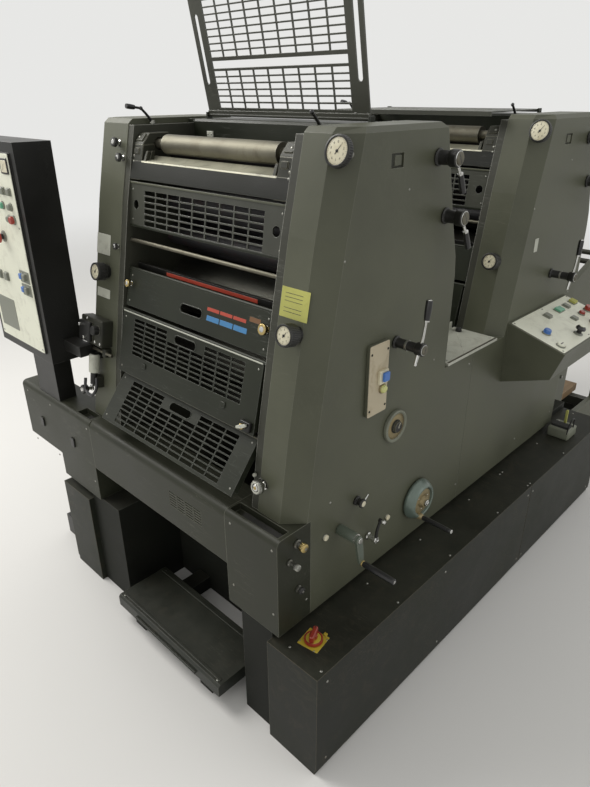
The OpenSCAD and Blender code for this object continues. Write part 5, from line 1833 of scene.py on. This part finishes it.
class PRESS_OT_feeder(bpy.types.Operator):
    """Feeder: tapes, rails, rods and rollers, suckers and frame bolts, finished plainly"""
    bl_idname = "press.feeder"
    bl_label = "Feeder details"

    def execute(self, context):
        (x, h), (far_x, far_h) = FEED_LINE
        seat = Seat(spot(x, 0, h), (far_x - x, 0, far_h - h), (0, 1, 0))
        long = math.hypot(far_x - x, far_h - h)
        rows = (-200, -100, 0, 100, 200)
        tape = block(6, -13, 0.1, long - 6, 13, 1.8, 0.6, 1)
        rail = block(60, -4, 0.1, long - 80, 4, 9, 2.0)
        parts = [
            ("belt web", scatter(tape, grid((0,), rows))),
            ("chrome", scatter(rail, grid((0,), (-262, 262)))),
        ]
        for x in (120, 260, 400):
            parts.append(("chrome", lying(drum(5, -270, 270, 1.0, 20), 0, x, 0, 22)))
            roller = drum(15, -9, 9, 2.0, 32)
            parts += [("roller rubber", lying(roller, 0, x, y, 17)) for y in rows]
        piece("feed_table_tapes", seated(seat, parts), BODY)

        cup = turned([(-6, 15), (-4, 16), (4, 11), (8, 9)], 32)
        places = [(40, -60), (40, 60)]
        parts = seated(on_top(SUCTION_HEAD, 0, SUCTION_CUPS), [
            ("grip plastic", scatter(cup, places)),
            ("chrome", scatter(drum(6, 8, 60, 1.0, 24), places)),
        ])
        parts += seated(on_top(SUCTION_HEAD, 0, SUCTION_TOP), [
            screws([(20, -70), (210, -70), (20, 70), (210, 70)]),
            ("black enamel", move(drum(20, 0, 26, 3, 48, 12, 2.0), 115)),
        ])
        piece("suction_head_detail", parts, BODY)

        nut = hex_nut(8, 0.1, 6)
        parts = []
        for way in (1, -1):
            places = [(way * x, z) for x, z in grid((1945, 2555), (60, 180, 500, 860))]
            seat = upright(0, -FEEDER_Y * way, -LOWER_EDGE, way)
            parts += seated(seat, [("fastener steel", scatter(nut, places))])
        piece("feeder_bolts", parts, BODY)
        return {"FINISHED"}


# ---------------------------------------------------------------- stage

def floor_finish(tone, backdrop):
    """Pale mottled floor that fades into the backdrop far from the press, for the camera only."""
    m = bpy.data.materials.new("studio floor")
    m.use_nodes = True
    t = m.node_tree
    bsdf = t.nodes["Principled BSDF"]
    where = wire(t, "ShaderNodeTexCoord")["Object"]
    colour = mixed(t, noise(t, where, 1.5, 4.0), tuple(c * 0.97 for c in tone), tone)
    t.links.new(colour, bsdf.inputs["Base Color"])
    bsdf.inputs["Roughness"].default_value = 0.75
    bsdf.inputs["Specular IOR Level"].default_value = 0.2
    distance = wire(t, "ShaderNodeVectorMath", {0: where}, operation="LENGTH")["Value"]
    away = ramp(t, distance, *FADE, interpolation_type="SMOOTHSTEP")
    seen = wire(t, "ShaderNodeLightPath")["Is Camera Ray"]
    haze = wire(t, "ShaderNodeEmission", {0: (*backdrop, 1.0), 1: 1.0})[0]
    ends = {0: calc(t, "MULTIPLY", away, seen), 1: bsdf.outputs[0], 2: haze}
    mix = wire(t, "ShaderNodeMixShader", ends)
    t.links.new(mix[0], t.nodes["Material Output"].inputs[0])
    return m


def studio_floor(p):
    """Square floor at the press's feet."""
    r = FLOOR_HALF
    mesh = bpy.data.meshes.new("studio_floor")
    mesh.from_pydata([(-r, -r, 0), (r, -r, 0), (r, r, 0), (-r, r, 0)], [], [(0, 1, 2, 3)])
    floor = bpy.data.objects.new("studio_floor", mesh)
    mesh.materials.append(floor_finish(tuple(p.floor_tone), tuple(p.backdrop)))
    bpy.context.scene.collection.objects.link(floor)


def studio_world(p):
    """Soft light from all round; the camera and mirror images see the plain backdrop instead."""
    world = bpy.data.worlds.new("studio")
    world.use_nodes = True
    t = world.node_tree
    t.nodes.clear()
    path = wire(t, "ShaderNodeLightPath")
    lit = {0: (*WORLD_LIGHT, 1.0), 1: WORLD_STRENGTH}
    light = wire(t, "ShaderNodeBackground", lit)[0]
    seen = wire(t, "ShaderNodeBackground", {0: (*p.backdrop, 1.0), 1: 1.0})[0]
    straight = calc(t, "MAXIMUM", path["Is Camera Ray"], path["Is Transmission Ray"])
    either = calc(t, "MAXIMUM", straight, path["Is Glossy Ray"])
    mix = wire(t, "ShaderNodeMixShader", {0: either, 1: light, 2: seen})
    wire(t, "ShaderNodeOutputWorld", {0: mix[0]})
    bpy.context.scene.world = world


def soft_lamp(name, power, size, place, target, tint):
    """Round soft lamp at a place, its beam turned to a target."""
    lamp = bpy.data.lights.new(name, "AREA")
    lamp.shape = "DISK"
    lamp.size = size
    lamp.energy = power
    lamp.color = tint
    obj = bpy.data.objects.new(name, lamp)
    bpy.context.scene.collection.objects.link(obj)
    obj.location = place
    obj.rotation_euler = (Vector(target) - Vector(place)).to_track_quat("-Z", "Y").to_euler()


def photo_camera():
    """Camera at the photograph's place, turned by its yaw, pitch and roll."""
    data = bpy.data.cameras.new("photo_camera")
    data.sensor_fit = "VERTICAL"
    data.sensor_height = 36.0
    data.lens = CAMERA_LENS
    data.clip_start = 0.05
    data.clip_end = 120.0
    cam = bpy.data.objects.new("photo_camera", data)
    pitch, yaw = math.radians(CAMERA_PITCH), math.radians(CAMERA_YAW)
    roll = math.radians(CAMERA_ROLL)
    ahead = Vector((math.sin(yaw), math.cos(yaw), 0.0)) * math.cos(pitch)
    ahead.z = -math.sin(pitch)
    right = Vector((math.cos(yaw), -math.sin(yaw), 0.0))
    up = right.cross(ahead)
    rolled_right = math.cos(roll) * right + math.sin(roll) * up
    rolled_up = -math.sin(roll) * right + math.cos(roll) * up
    axes = Matrix((rolled_right, rolled_up, -ahead)).transposed()
    cam.matrix_world = Matrix.Translation(CAMERA_PLACE) @ axes.to_4x4()
    bpy.context.scene.collection.objects.link(cam)
    bpy.context.scene.camera = cam


class PRESS_OT_stage(bpy.types.Operator):
    """Pale floor, soft lamps, pale world and the camera at the photograph's place"""
    bl_idname = "press.stage"
    bl_label = "Studio and camera"

    def execute(self, context):
        p = context.scene.press_stage
        studio_floor(p)
        studio_world(p)
        for name, (power, share, size, place, target, tint) in LAMPS.items():
            soft_lamp(name, getattr(p, power) * share, size, place, target, tint)
        photo_camera()
        context.scene.view_settings.view_transform = "Standard"
        return {"FINISHED"}


class PRESS_PT_panel(bpy.types.Panel):
    """Lists the press's pieces and their sizes in the 3D view's sidebar"""
    bl_label = "Offset press"
    bl_idname = "PRESS_PT_panel"
    bl_space_type = "VIEW_3D"
    bl_region_type = "UI"
    bl_category = "Press"

    def draw(self, context):
        for cls in OPERATORS:
            self.layout.operator(cls.bl_idname)
        for group_name in ("press_levers", "press_dials", "press_panels", "press_stage"):
            settings = getattr(context.scene, group_name)
            box = self.layout.box()
            for prop in settings.bl_rna.properties:
                if prop.identifier not in {"rna_type", "name"}:
                    box.prop(settings, prop.identifier)


PROPERTIES = (
    ("press_levers", PressLeverProperties),
    ("press_dials", PressDialProperties),
    ("press_panels", PressPanelProperties),
    ("press_stage", PressStageProperties),
)
OPERATORS = (
    PRESS_OT_groups, PRESS_OT_stage, PRESS_OT_finishes, PRESS_OT_levers, PRESS_OT_hand_wheel,
    PRESS_OT_cranks, PRESS_OT_main_switch, PRESS_OT_dials, PRESS_OT_side_controls,
    PRESS_OT_ink_ducts, PRESS_OT_console, PRESS_OT_cabinet, PRESS_OT_guard_details, PRESS_OT_plates,
    PRESS_OT_delivery, PRESS_OT_saddle, PRESS_OT_pedal, PRESS_OT_drive_side, PRESS_OT_feeder,
)


def register():
    """Registers the properties, the operators and the panel."""
    for name, cls in PROPERTIES:
        bpy.utils.register_class(cls)
        setattr(bpy.types.Scene, name, bpy.props.PointerProperty(type=cls))
    for cls in OPERATORS + (PRESS_PT_panel,):
        bpy.utils.register_class(cls)


def unregister():
    """Takes them out again, in the opposite order."""
    for cls in (PRESS_PT_panel,) + OPERATORS[::-1]:
        bpy.utils.unregister_class(cls)
    for name, cls in PROPERTIES[::-1]:
        delattr(bpy.types.Scene, name)
        bpy.utils.unregister_class(cls)


def main():
    """Builds the press piece by piece."""
    register()
    for cls in OPERATORS:
        area, name = cls.bl_idname.split(".")
        getattr(getattr(bpy.ops, area), name)()


if __name__ == "__main__":
    main()
